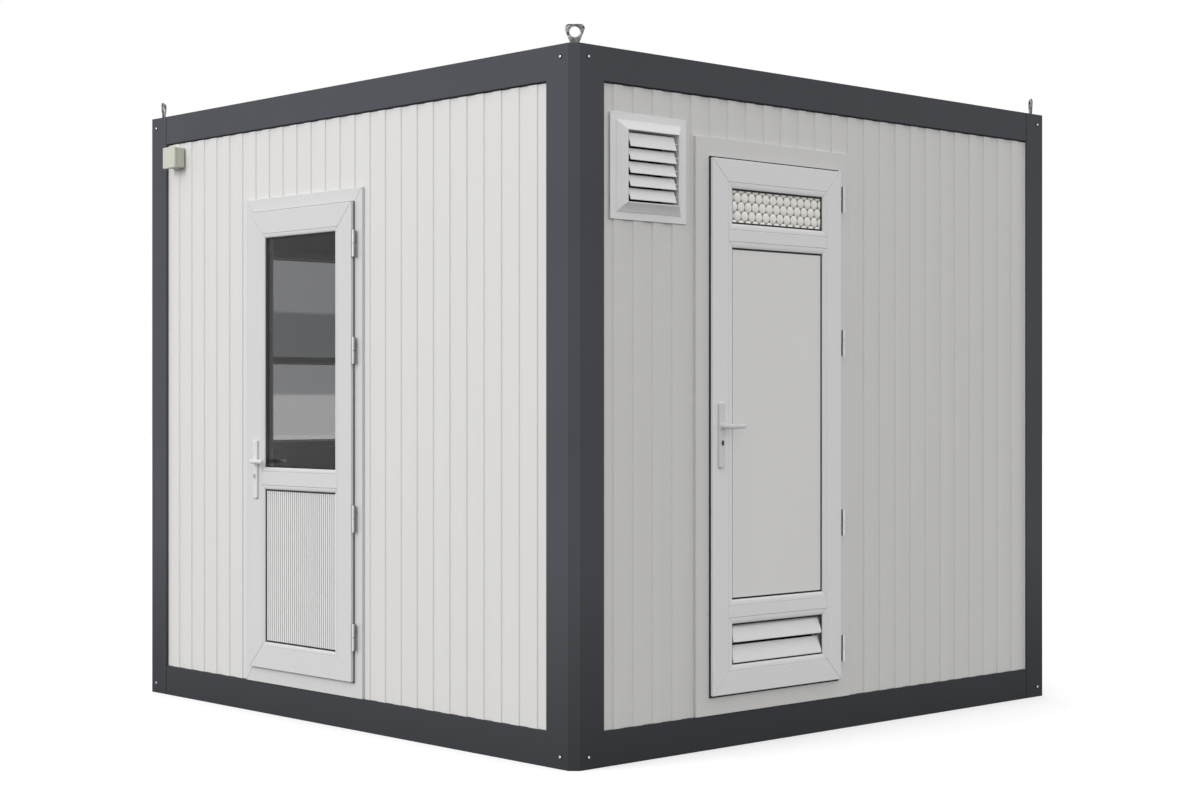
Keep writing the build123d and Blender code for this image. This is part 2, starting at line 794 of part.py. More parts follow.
for name, door in (("entrance", entrance), ("washroom", washroom)):
    save(hinge_pins(door), f"{name}_hinge_pins")
    save(hinge_sleeves(door), f"{name}_hinge_sleeves")
    save(handle_plates(door), f"{name}_handle_plates")
    save(lever_set(door), f"{name}_lever")

save(vent_frame(), "vent_frame")
save(vent_blades(), "vent_blades")
save(junction_box(), "junction_box")
save(window_frame(), "window_frame")
save(window_glass(), "window_glass")
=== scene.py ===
"""Looks of a demountable guard cabin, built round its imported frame.

Sizes are in millimetres. Places are given in a wall's own directions: along the wall from left to right as
seen from outside, up from the ground, and out from the ribs of the wall panels. Meshes are in metres.
"""

import logging
from dataclasses import dataclass, field, replace
from enum import Enum
from math import ceil, cos, floor, hypot, pi, radians, sin, sqrt, tan
from typing import Any, Iterable, Optional, Sequence

import bmesh
import bpy
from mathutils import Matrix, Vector


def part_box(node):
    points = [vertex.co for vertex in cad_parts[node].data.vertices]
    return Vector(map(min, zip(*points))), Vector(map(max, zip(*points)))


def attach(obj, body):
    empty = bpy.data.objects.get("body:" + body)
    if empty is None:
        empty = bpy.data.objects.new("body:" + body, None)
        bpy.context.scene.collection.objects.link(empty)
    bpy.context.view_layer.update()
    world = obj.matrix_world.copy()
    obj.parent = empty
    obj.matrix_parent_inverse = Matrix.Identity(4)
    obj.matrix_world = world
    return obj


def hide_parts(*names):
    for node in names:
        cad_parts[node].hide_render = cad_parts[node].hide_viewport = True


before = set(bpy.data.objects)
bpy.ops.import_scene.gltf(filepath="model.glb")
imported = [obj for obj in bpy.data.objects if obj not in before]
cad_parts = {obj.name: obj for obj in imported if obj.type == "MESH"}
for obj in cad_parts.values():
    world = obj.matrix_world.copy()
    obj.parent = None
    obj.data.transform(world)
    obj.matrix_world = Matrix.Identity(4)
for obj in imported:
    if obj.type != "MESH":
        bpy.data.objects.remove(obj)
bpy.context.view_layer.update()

LOG = logging.getLogger("guard_cabin")
MM = 0.001
HALF = 0.5
TURN, QUARTER_TURN = 2 * pi, pi / 2
TRIANGLE_HEIGHT = sqrt(3) / 2
WHITE = "#ffffff"

# Distance from the middle of the cabin to the outer ribs of its wall panels
PANEL_FACE = -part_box("front_wall_left")[0].y / MM

# The sRGB transfer curve
SRGB_TOE, SRGB_TOE_SLOPE, SRGB_OFFSET, SRGB_POWER, BYTE = 0.04045, 12.92, 0.055, 2.4, 255

# Sockets of the colour mode of Blender's mix node, which share their names with other modes
MIX_FACTOR, MIX_FIRST, MIX_SECOND, MIX_RESULT = 0, 6, 7, 2

# Edges flatter than this are shaded as one smooth surface, and sharper ones are rounded over
SMOOTH_ANGLE = radians(33)
EDGE_STEPS = 2
ARC_STEPS = 4
TURNED_SIDES = 32

Flat = tuple[float, float]
Point = tuple[float, float, float]
Colour = tuple[float, float, float, float]


def linear(colour: str) -> Colour:
    """Turn an sRGB hex colour into linear light.

    Args:
        colour: Colour as "#rrggbb".

    Returns:
        Red, green and blue in linear light, and full alpha.
    """
    shares = [byte / BYTE for byte in bytes.fromhex(colour[1:])]
    red, green, blue = (
        share / SRGB_TOE_SLOPE if share <= SRGB_TOE
        else ((share + SRGB_OFFSET) / (1 + SRGB_OFFSET)) ** SRGB_POWER
        for share in shares
    )
    return red, green, blue, 1.0


def add_node(tree: bpy.types.NodeTree, kind: str, options: Optional[dict[str, Any]] = None,
             inputs: Optional[dict[Any, Any]] = None) -> bpy.types.Node:
    """Add one shader node, set its options and sockets, and link what feeds it.

    Args:
        tree: Node tree that takes the node.
        kind: Blender's name for the kind of node.
        options: Settings of the node, by attribute name.
        inputs: Values, or output sockets of other nodes, by input name or number.

    Returns:
        The new node.
    """
    node = tree.nodes.new(kind)
    for name, value in (options or {}).items():
        setattr(node, name, value)
    for name, value in (inputs or {}).items():
        if isinstance(value, bpy.types.NodeSocket):
            tree.links.new(value, node.inputs[name])
        else:
            node.inputs[name].default_value = value
    return node


@dataclass(frozen=True)
class Finish:
    """Surface of one real material: its name, colour and how rough it is."""

    name: str
    colour: str
    roughness: float

    def shade(self, tree: bpy.types.NodeTree) -> bpy.types.Node:
        """Make the shader in a node tree; each kind of finish has its own."""
        raise NotImplementedError

    def material(self) -> bpy.types.Material:
        """Make the material, or give the one that was made before.

        Returns:
            Material with this finish's nodes.
        """
        made = bpy.data.materials.get(self.name)
        if made is None:
            made = bpy.data.materials.new(self.name)
            made.use_nodes = True
            made.node_tree.nodes.clear()
            shader = self.shade(made.node_tree)
            add_node(made.node_tree, "ShaderNodeOutputMaterial", inputs={"Surface": shader.outputs[0]})
        return made

    def grade(self, shader: bpy.types.Node, heights: Flat, low: Any, high: Any) -> bpy.types.Node:
        """Let the colour of a shader change with the height above the ground.

        Args:
            shader: Shader node whose colour changes.
            heights: Where the change starts and ends.
            low: Colour below the change, or an output socket that gives it.
            high: Colour above the change, or an output socket that gives it.

        Returns:
            The shader node.
        """
        tree = shader.id_data
        place = add_node(tree, "ShaderNodeTexCoord").outputs["Object"]
        height = add_node(tree, "ShaderNodeSeparateXYZ", inputs={"Vector": place}).outputs["Z"]
        share = add_node(tree, "ShaderNodeMapRange", inputs={
            "Value": height, "From Min": heights[0] * MM, "From Max": heights[1] * MM})
        colour = add_node(tree, "ShaderNodeMix", {"data_type": "RGBA"}, {
            MIX_FACTOR: share.outputs["Result"], MIX_FIRST: low, MIX_SECOND: high})
        tree.links.new(colour.outputs[MIX_RESULT], shader.inputs["Base Color"])
        return shader


@dataclass(frozen=True)
class CoatFinish(Finish):
    """Opaque coat or plastic: a colour that drifts to a second tone in patches, under a fine skin."""

    tone: str
    drift: Point
    grain: float
    relief: float
    spread: float
    specular: float = 0.5
    ior: float = 1.5
    cloud_detail: float = 3.0

    def shade(self, tree: bpy.types.NodeTree) -> bpy.types.Node:
        """Drift the colour and the gloss together, and raise the skin.

        Args:
            tree: Node tree of the material.

        Returns:
            The shader node.
        """
        place = add_node(tree, "ShaderNodeTexCoord").outputs["Object"]
        patches = add_node(tree, "ShaderNodeMapping", inputs={
            "Vector": place, "Scale": tuple(1 / (size * MM) for size in self.drift)})
        cloud = add_node(tree, "ShaderNodeTexNoise", inputs={
            "Vector": patches.outputs["Vector"], "Scale": 1.0, "Detail": self.cloud_detail})
        colour = add_node(tree, "ShaderNodeMix", {"data_type": "RGBA"}, {
            MIX_FACTOR: cloud.outputs["Fac"], MIX_FIRST: linear(self.colour), MIX_SECOND: linear(self.tone)})
        gloss = add_node(tree, "ShaderNodeMapRange", inputs={
            "Value": cloud.outputs["Fac"], "To Min": self.roughness - self.spread,
            "To Max": self.roughness + self.spread})
        skin = add_node(tree, "ShaderNodeTexNoise", inputs={"Vector": place, "Scale": 1 / (self.grain * MM)})
        bump = add_node(tree, "ShaderNodeBump", inputs={
            "Height": skin.outputs["Fac"], "Distance": self.relief * MM})
        return add_node(tree, "ShaderNodeBsdfPrincipled", inputs={
            "Base Color": colour.outputs[MIX_RESULT], "Roughness": gloss.outputs["Result"], "IOR": self.ior,
            "Specular IOR Level": self.specular, "Normal": bump.outputs["Normal"]})


@dataclass(frozen=True)
class GroundShadedFinish(CoatFinish):
    """A coat whose colour darkens towards the ground: painted shade near the ground."""

    # Colour of the painted shade at the ground, and the height where it fades out
    ground_shade: str = WHITE
    reach: float = 1.0

    def shade(self, tree: bpy.types.NodeTree) -> bpy.types.Node:
        """Darken the plain coat by height, as painted shade near the ground.

        Args:
            tree: Node tree of the material.

        Returns:
            The shader node.
        """
        shader = super().shade(tree)
        coat = shader.inputs["Base Color"].links[0].from_socket
        return self.grade(shader, (0.0, self.reach), linear(self.ground_shade), coat)


@dataclass(frozen=True)
class MetalFinish(Finish):
    """Bare metal whose crystals or drawing marks differ a little in tone and gloss."""

    tone: str
    crystal: Point
    spread: float

    def shade(self, tree: bpy.types.NodeTree) -> bpy.types.Node:
        """Give each crystal its own tone and gloss.

        Args:
            tree: Node tree of the material.

        Returns:
            The shader node.
        """
        place = add_node(tree, "ShaderNodeTexCoord").outputs["Object"]
        patches = add_node(tree, "ShaderNodeMapping", inputs={
            "Vector": place, "Scale": tuple(1 / (size * MM) for size in self.crystal)})
        cells = add_node(tree, "ShaderNodeTexVoronoi", inputs={
            "Vector": patches.outputs["Vector"], "Scale": 1.0})
        shares = add_node(tree, "ShaderNodeSeparateColor", inputs={"Color": cells.outputs["Color"]})
        colour = add_node(tree, "ShaderNodeMix", {"data_type": "RGBA"}, {
            MIX_FACTOR: shares.outputs["Red"], MIX_FIRST: linear(self.colour), MIX_SECOND: linear(self.tone)})
        gloss = add_node(tree, "ShaderNodeMapRange", inputs={
            "Value": shares.outputs["Green"], "To Min": self.roughness - self.spread,
            "To Max": self.roughness + self.spread})
        return add_node(tree, "ShaderNodeBsdfPrincipled", inputs={
            "Base Color": colour.outputs[MIX_RESULT], "Metallic": 1.0, "Roughness": gloss.outputs["Result"]})


@dataclass(frozen=True)
class GlassFinish(Finish):
    """Clear or tinted glass whose surface waves slightly from the rollers it was drawn over."""

    wave: float
    relief: float
    transmission: float = 1.0
    ior: float = 1.52
    glare: str = "#505050"

    def shade(self, tree: bpy.types.NodeTree) -> bpy.types.Node:
        """Let light through, with the roller wave in the surface and a coating that cuts its glare.

        Args:
            tree: Node tree of the material.

        Returns:
            The shader node.
        """
        place = add_node(tree, "ShaderNodeTexCoord").outputs["Object"]
        wave = add_node(tree, "ShaderNodeTexNoise", inputs={
            "Vector": place, "Scale": 1 / (self.wave * MM), "Detail": 0.0})
        bump = add_node(tree, "ShaderNodeBump", inputs={
            "Height": wave.outputs["Fac"], "Distance": self.relief * MM})
        return add_node(tree, "ShaderNodeBsdfPrincipled", inputs={
            "Base Color": linear(self.colour), "Roughness": self.roughness, "IOR": self.ior,
            "Transmission Weight": self.transmission, "Specular Tint": linear(self.glare),
            "Normal": bump.outputs["Normal"]})


@dataclass(frozen=True)
class GradedGlassFinish(GlassFinish):
    """Glass with a film that changes from one tint to another at some height."""

    film: str = WHITE
    level: float = 0.0
    blend: float = 1.0

    def shade(self, tree: bpy.types.NodeTree) -> bpy.types.Node:
        """Grade the tint of plain glass over the height of the pane.

        Args:
            tree: Node tree of the material.

        Returns:
            The shader node.
        """
        heights = (self.level - self.blend, self.level + self.blend)
        return self.grade(super().shade(tree), heights, linear(self.colour), linear(self.film))


@dataclass(frozen=True)
class TimberFinish(Finish):
    """Sawn softwood: bands of growth rings that wander along the length of each board."""

    tone: str
    ring: float
    length: float
    relief: float
    wander: float = 6.0

    def shade(self, tree: bpy.types.NodeTree) -> bpy.types.Node:
        """Run the rings along Y, darker and a little raised.

        Args:
            tree: Node tree of the material.

        Returns:
            The shader node.
        """
        place = add_node(tree, "ShaderNodeTexCoord").outputs["Object"]
        grain = add_node(tree, "ShaderNodeMapping", inputs={
            "Vector": place, "Scale": (1 / (self.ring * MM), 1 / (self.length * MM), 1 / (self.ring * MM))})
        rings = add_node(tree, "ShaderNodeTexWave", inputs={
            "Vector": grain.outputs["Vector"], "Scale": 1.0, "Distortion": self.wander})
        colour = add_node(tree, "ShaderNodeMix", {"data_type": "RGBA"}, {
            MIX_FACTOR: rings.outputs["Fac"], MIX_FIRST: linear(self.colour), MIX_SECOND: linear(self.tone)})
        bump = add_node(tree, "ShaderNodeBump", inputs={
            "Height": rings.outputs["Fac"], "Distance": self.relief * MM})
        return add_node(tree, "ShaderNodeBsdfPrincipled", inputs={
            "Base Color": colour.outputs[MIX_RESULT], "Roughness": self.roughness,
            "Normal": bump.outputs["Normal"]})


# Powder-coated steel: an even dark grey with the faint orange peel of the baked powder.
# The real peel is about 1 mm, too fine to show, so it is drawn at 6 mm.
# Its colour darkens towards the ground, below the reach: painted shade near the ground.
POWDER_COAT = GroundShadedFinish(
    "powder_coated_steel", "#525459", roughness=0.55, tone="#4d4f54", drift=(260, 260, 420), grain=6.0,
    relief=0.05, spread=0.06, specular=0.03, ground_shade="#3d3f42", reach=700.0)

# Coil-coated sheet: a warm off-white polyester, rolled lengthwise, so that its tone drifts
# in long upright streaks.
COIL_COAT = CoatFinish(
    "coil_coated_sheet", "#dbdad8", roughness=0.45, tone="#d7d6d4", drift=(60, 60, 1500), grain=5.0,
    relief=0.03, spread=0.05, specular=0.35)

# Grey coated sheet of the room's lining, darker than the outside so that the room reads as shade.
LINING = replace(
    COIL_COAT, name="grey_lining_sheet", colour="#4a4b4b", roughness=0.5, tone="#444545", specular=0.2)

# Extruded rigid PVC: a cool white with a satin skin and hardly any drift along the bar.
WHITE_PVC = CoatFinish(
    "extruded_white_pvc", "#d0d0d0", roughness=0.36, tone="#cccccc", drift=(120, 120, 600), grain=4.0,
    relief=0.02, spread=0.04, specular=0.7)

# A purer white PVC, of the washroom door and of the strips of the entrance's fluted panel.
PURE_PVC = replace(WHITE_PVC, name="extruded_pure_white_pvc", colour="#e6e6e6", tone="#e2e2e2")

# Grey back of the fluted panel, which shows at the floors of its grooves: painted shade that deepens them.
GROOVE_SHADE_PVC = replace(
    WHITE_PVC, name="groove_shade_grey_pvc", colour="#a6a6a6", roughness=0.45, tone="#a0a0a0", specular=0.3)

# Laminated white sheet of the washroom door's panel, faintly warm beside its plastic sash.
DOOR_SHEET = CoatFinish(
    "laminated_white_sheet", "#e5e4e2", roughness=0.4, tone="#e1e0de", drift=(200, 200, 900), grain=5.0,
    relief=0.02, spread=0.04, specular=0.6)

# EPDM rubber: matt black sealing strips that read as dark lines. Under the top rails, and where the washroom
# door's seal reaches past its sash, the same black is painted shade.
RUBBER_AND_SHADE = CoatFinish(
    "epdm_rubber_and_shade", "#1b1b1d", roughness=0.7, tone="#242427", drift=(20, 20, 20), grain=2.0,
    relief=0.05, spread=0.08, specular=0.3)

# Grey rubber of the entrance's seal, a softer line than the black one. Where the seal reaches past the sash
# it is a painted shadow line.
GREY_RUBBER_AND_SHADE = replace(RUBBER_AND_SHADE, name="grey_epdm_rubber_and_shade", colour="#5c5c5d", tone="#646465")

# Moulded ABS: a clean white with the fine spark grain of the mould. The grain is drawn at 3 mm to show.
VENT_ABS = CoatFinish(
    "moulded_white_abs", "#e8e8e8", roughness=0.38, tone="#e4e4e4", drift=(90, 90, 90), grain=3.0,
    relief=0.02, spread=0.05, specular=0.7)

# The cream ABS of cable boxes, slightly yellow and matt.
BOX_ABS = CoatFinish(
    "moulded_cream_abs", "#c8c9bc", roughness=0.5, tone="#c3c4b7", drift=(60, 60, 60), grain=3.0,
    relief=0.03, spread=0.05)

# White-coated zinc casting of the levers and their plates: smoother and glossier than the plastic beside it.
HANDLE_COAT = CoatFinish(
    "white_coated_zinc", "#dadada", roughness=0.28, tone="#d4d4d4", drift=(40, 40, 40), grain=3.0,
    relief=0.01, spread=0.04)

# Hot-dip galvanised steel: dull silver with the frosted patches of zinc crystals, about 12 mm across.
GALVANISED = MetalFinish(
    "galvanised_steel", "#94979a", roughness=0.42, tone="#7d8083", crystal=(12, 12, 12), spread=0.1)

# Zinc-dipped forging of the lifting eyes: darker, scaly and lumpy beside the sheet. Its strong light and dark
# mottle is partly real zinc scale and partly painted reflection.
FORGED_ZINC_AND_REFLECTIONS = MetalFinish(
    "zinc_forging_and_painted_reflections", "#a3a5a8", roughness=0.4, tone="#46484b", crystal=(9, 9, 9), spread=0.15)

# Satin steel of the hinge barrels, which catches a bright line down its middle.
HINGE_STEEL = MetalFinish(
    "satin_steel", "#c9cacb", roughness=0.32, tone="#bdbebf", crystal=(5, 5, 40), spread=0.05)

# Phosphated steel of the hinge leaves, a grey line beside each barrel. Their grey, darker than the barrels,
# is partly painted shade along the barrels' sides.
HINGE_LEAF_AND_SHADE = CoatFinish(
    "hinge_leaf_and_shade_grey", "#9d9ea0", roughness=0.5, tone="#949597", drift=(8, 8, 8), grain=2.0,
    relief=0.02, spread=0.06, specular=0.2)

# Bright zinc-plated screws, small and shiny.
BRIGHT_ZINC = MetalFinish(
    "zinc_plated_screws", "#d4d6d8", roughness=0.22, tone="#c4c6c9", crystal=(4, 4, 4), spread=0.05)

# Body-tinted float glass: a neutral smoke grey, clear enough to see the room behind it.
TINTED_GLASS = GlassFinish("grey_float_glass", "#c7c7c8", roughness=0.0, wave=160.0, relief=0.002)

# Darker solar-control glass of the upper light of the window, whose film is denser in its lower half.
SOLAR_GLASS = GradedGlassFinish(
    "dark_solar_glass", "#616365", roughness=0.0, wave=160.0, relief=0.002, film="#8a8b8e",
    level=1730.0, blend=8.0)

# The lower light of the window carries the same film in a paler grade, denser at its top.
PALE_SOLAR_GLASS = replace(
    SOLAR_GLASS, name="pale_solar_glass", colour="#bebebf", film="#8d8e8f", level=1340.0)

# Cast bubble glass: opal lenses that hide what is behind them.
BUBBLE_GLASS = GlassFinish(
    "cast_bubble_glass", "#fcf9f4", roughness=0.25, wave=15.0, relief=0.1, transmission=0.04)

# A dark plate under the lenses shows as dark lines between them: painted shade in the crevices between the
# lenses.
CREVICE_SHADE_PLATE = GlassFinish(
    "crevice_shade_plate", "#8a857e", roughness=0.3, wave=40.0, relief=0.05, transmission=0.1)

# Black inside the washroom's keyhole, a black spot on its plate: painted shade in the shallow hole.
KEYHOLE_SHADE = CoatFinish(
    "keyhole_shade_black", "#101011", roughness=0.45, tone="#18181a", drift=(4, 4, 4), grain=1.0,
    relief=0.02, spread=0.05)

# Nickel-plated lock of the entrance, hardly darker than the plate round it.
NICKEL = MetalFinish(
    "nickel_plated_lock", "#a2a2a0", roughness=0.35, tone="#989896", crystal=(4, 4, 4), spread=0.05)

# Sawn pine joists under the floor.
PINE = TimberFinish(
    "sawn_pine", "#c9a878", roughness=0.7, tone="#b08a58", ring=9.0, length=500.0, relief=0.3)

# Sealed wood-fibre floor board with a mid-grey vinyl wear layer.
FLOOR_VINYL = CoatFinish(
    "grey_floor_vinyl", "#5f5d5a", roughness=0.5, tone="#55534f", drift=(18, 18, 18), grain=6.0,
    relief=0.05, spread=0.08)


@dataclass(frozen=True)
class Span:
    """Box in a wall's own directions."""

    left: float
    right: float
    low: float
    high: float
    back: float
    front: float

    @property
    def middle(self) -> float:
        """Place halfway along."""
        return (self.left + self.right) / 2

    @property
    def centre(self) -> float:
        """Height halfway up."""
        return (self.low + self.high) / 2

    def inset(self, by: float) -> "Span":
        """The same box with its four edges moved in."""
        return replace(self, left=self.left + by, right=self.right - by,
                       low=self.low + by, high=self.high - by)

    def corners(self) -> list[tuple[Flat, Flat]]:
        """The four corners in order, each with the inward directions along and up."""
        return [((self.left, self.low), (1, 1)), ((self.right, self.low), (-1, 1)),
                ((self.right, self.high), (-1, -1)), ((self.left, self.high), (1, -1))]

    def outline(self) -> list[Flat]:
        """The four corners in order."""
        return [corner for corner, _ in self.corners()]


class Wall(Enum):
    """The cabin's walls, each with its outward and along directions."""

    FRONT = ((0, -1, 0), (1, 0, 0))
    RIGHT = ((1, 0, 0), (0, 1, 0))
    BACK = ((0, 1, 0), (-1, 0, 0))
    LEFT = ((-1, 0, 0), (0, -1, 0))

    def place(self, along: float, up: float, out: float) -> Vector:
        """Turn a place on the wall into metres in the cabin's frame.

        Args:
            along: Place along the wall, from its middle.
            up: Height above the ground.
            out: Distance out from the ribs of the panels.

        Returns:
            The point in metres.
        """
        outward, way = (Vector(axis) for axis in self.value)
        return (outward * (PANEL_FACE + out) + way * along + Vector((0, 0, up))) * MM

    def span(self, node: str) -> Span:
        """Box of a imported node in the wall's directions.

        Args:
            node: Name of the node.

        Returns:
            The box in millimetres.
        """
        outward, way = (Vector(axis) for axis in self.value)
        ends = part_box(node)
        left, right = sorted(end.dot(way) / MM for end in ends)
        back, front = sorted(end.dot(outward) / MM - PANEL_FACE for end in ends)
        return Span(left, right, ends[0].z / MM, ends[1].z / MM, back, front)


class Run(Enum):
    """Direction that a form runs in. Its outline is drawn in the other two, in the order along, up, out."""

    ALONG = 0
    UP = 1
    OUT = 2

    def point(self, first: float, second: float, level: float) -> Point:
        """Put an outline's point at one level of the run.

        Args:
            first: First coordinate of the outline's point.
            second: Second coordinate of the outline's point.
            level: Place along the run.

        Returns:
            The point as along, up and out.
        """
        places = [first, second]
        places.insert(self.value, level)
        return places[0], places[1], places[2]


def rounded(corners: Sequence[Flat], radius: float, closed: bool = True) -> list[Flat]:
    """Turn the corners of an outline into arcs.

    Args:
        corners: Points of the outline.
        radius: Radius of the arcs; short sides take a smaller one.
        closed: Whether the last point joins the first; the ends of an open line stay sharp.

    Returns:
        Points of the rounded outline.
    """
    points = [Vector(corner) for corner in corners]
    result: list[Flat] = []
    for number, corner in enumerate(points):
        if not closed and number in (0, len(points) - 1):
            result.append(tuple(corner))
            continue
        before = points[number - 1] - corner
        after = points[(number + 1) % len(points)] - corner
        half_angle = before.angle(after) / 2
        cut = min(radius / tan(half_angle), HALF * min(before.length, after.length))
        before.normalize()
        after.normalize()
        middle = corner + (before + after).normalized() * cut / cos(half_angle)
        start, end = corner + before * cut - middle, corner + after * cut - middle
        sweep = start.angle(end)
        for step in range(ARC_STEPS + 1):
            share = step / ARC_STEPS
            spoke = (start * sin((1 - share) * sweep) + end * sin(share * sweep)) / sin(sweep)
            result.append(tuple(middle + spoke))
    return result


def box_outline(left: float, right: float, low: float, high: float) -> list[Flat]:
    """Corners of a rectangle, in order."""
    return [(left, low), (right, low), (right, high), (left, high)]


def oval(middle: Flat, half_width: float, half_height: float) -> list[Flat]:
    """Outline with straight sides and round ends, or a circle where the halves are equal.

    Args:
        middle: Middle of the outline.
        half_width: Half of its width and the radius of its ends.
        half_height: Half of its height.

    Returns:
        Points of the outline.
    """
    lift = half_height - half_width
    points = []
    for step in range(TURNED_SIDES):
        angle = TURN * (step + HALF) / TURNED_SIDES
        shift = lift if sin(angle) > 0 else -lift
        points.append((middle[0] + half_width * cos(angle), middle[1] + half_width * sin(angle) + shift))
    return points


@dataclass
class Draft:
    """Mesh that grows form by form in the directions of one wall."""

    wall: Wall
    points: list[Vector] = field(default_factory=list)
    faces: list[list[int]] = field(default_factory=list)
    tints: list[int] = field(default_factory=list)
    tint: int = 0

    def face(self, numbers: Iterable[int]) -> None:
        """Add one face in the current finish."""
        self.faces.append(list(numbers))
        self.tints.append(self.tint)

    def loops(self, rings: Sequence[Sequence[Point]], closed: bool = False) -> None:
        """Skin a row of rings, and cap its ends unless it closes on itself.

        Args:
            rings: Rings of equally many points, as along, up and out.
            closed: Whether the last ring joins the first.
        """
        first, size, count = len(self.points), len(rings[0]), len(rings)
        for ring in rings:
            self.points.extend(self.wall.place(*point) for point in ring)
        for number in range(count if closed else count - 1):
            here, there = first + number * size, first + (number + 1) % count * size
            for step in range(size):
                after = (step + 1) % size
                self.face((here + step, here + after, there + after, there + step))
        if not closed:
            self.face(range(first, first + size))
            self.face(range(first + (count - 1) * size, first + count * size))

    def prism(self, outline: Sequence[Flat], run: Run, start: float, end: float) -> None:
        """Draw an outline out into a solid.

        Args:
            outline: Points of the outline.
            run: Direction that the solid runs in.
            start: Where it starts.
            end: Where it ends.
        """
        self.loops([[run.point(*point, level) for point in outline] for level in (start, end)])

    def turned(self, centre: Point, profile: Sequence[Flat], run: Run) -> None:
        """Turn a profile about an axis.

        Args:
            centre: Point on the axis that the profile's levels start from.
            profile: Radius and level of each point of the profile.
            run: Direction of the axis.
        """
        rings = []
        for radius, level in profile:
            spokes = [run.point(x, y, level) for x, y in oval((0, 0), radius, radius)]
            rings.append([tuple(a + b for a, b in zip(centre, spoke)) for spoke in spokes])
        self.loops(rings)

    def corner_section(self, outer: Span, inner: Span, corner: int, section: Sequence[Point],
                       slip: Flat = (0, 0)) -> list[Point]:
        """Section of a frame's bars at one corner.

        Args:
            outer: Outer edges of the frame.
            inner: Inner edges of the frame.
            corner: Number of the corner.
            section: Points of the section: 0 or 1 for the outer or inner edge, the inset from it, and out.
            slip: Distances along and up that the section is moved inward by.

        Returns:
            The section's points.
        """
        (outer_along, outer_up), (way_along, way_up) = outer.corners()[corner]
        (inner_along, inner_up), _ = inner.corners()[corner]
        return [
            (outer_along + share * (inner_along - outer_along) + way_along * (inset + slip[0]),
             outer_up + share * (inner_up - outer_up) + way_up * (inset + slip[1]), out)
            for share, inset, out in section
        ]

    def bars(self, outer: Span, inner: Span, section: Sequence[Point], gap: float) -> None:
        """Four bars round an opening, mitred at the corners with a fine open line.

        Args:
            outer: Outer edges of the frame.
            inner: Inner edges of the frame.
            section: Section of the bars, as for corner_section.
            gap: Half of the open line's width.
        """
        for number in range(len(outer.corners())):
            slip = (gap, 0) if number % 2 == 0 else (0, gap)
            ends = (number, (number + 1) % len(outer.corners()))
            self.loops([self.corner_section(outer, inner, end, section, slip) for end in ends])

    def ring(self, outer: Span, inner: Span, section: Sequence[Point]) -> None:
        """One frame round an opening, with no joints at its corners.

        Args:
            outer: Outer edges of the frame.
            inner: Inner edges of the frame.
            section: Section of the frame, as for corner_section.
        """
        self.loops([self.corner_section(outer, inner, corner, section)
                    for corner in range(len(outer.corners()))], closed=True)

    def piece(self, name: str, body: str, slot: str, finishes: Sequence[Finish], nodes: Sequence[str] = (),
              edge: float = 0.0) -> bpy.types.Object:
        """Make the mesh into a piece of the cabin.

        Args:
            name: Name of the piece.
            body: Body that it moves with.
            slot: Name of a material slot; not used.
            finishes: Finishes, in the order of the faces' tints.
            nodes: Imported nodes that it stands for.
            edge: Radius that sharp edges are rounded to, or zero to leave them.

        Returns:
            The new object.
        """
        mesh = bpy.data.meshes.new(name)
        mesh.from_pydata(self.points, [], self.faces)
        for finish in finishes:
            mesh.materials.append(finish.material())
        mesh.polygons.foreach_set("material_index", self.tints)
        work = bmesh.new()
        work.from_mesh(mesh)
        bmesh.ops.recalc_face_normals(work, faces=work.faces)
        work.to_mesh(mesh)
        work.free()
        mesh.shade_smooth()
        mesh.set_sharp_from_angle(angle=SMOOTH_ANGLE)
        made = bpy.data.objects.new(name, mesh)
        bpy.context.scene.collection.objects.link(made)
        if edge:
            bevel = made.modifiers.new("soft_edges", "BEVEL")
            bevel.width, bevel.segments, bevel.angle_limit = edge * MM, EDGE_STEPS, SMOOTH_ANGLE
            bevel.harden_normals = True
        flat = made.modifiers.new("flat_faces", "WEIGHTED_NORMAL")
        flat.keep_sharp = True
        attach(made, body)
        if nodes:
            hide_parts(*nodes)
        LOG.info("%s: %d faces on %s", name, len(self.faces), body)
        return made


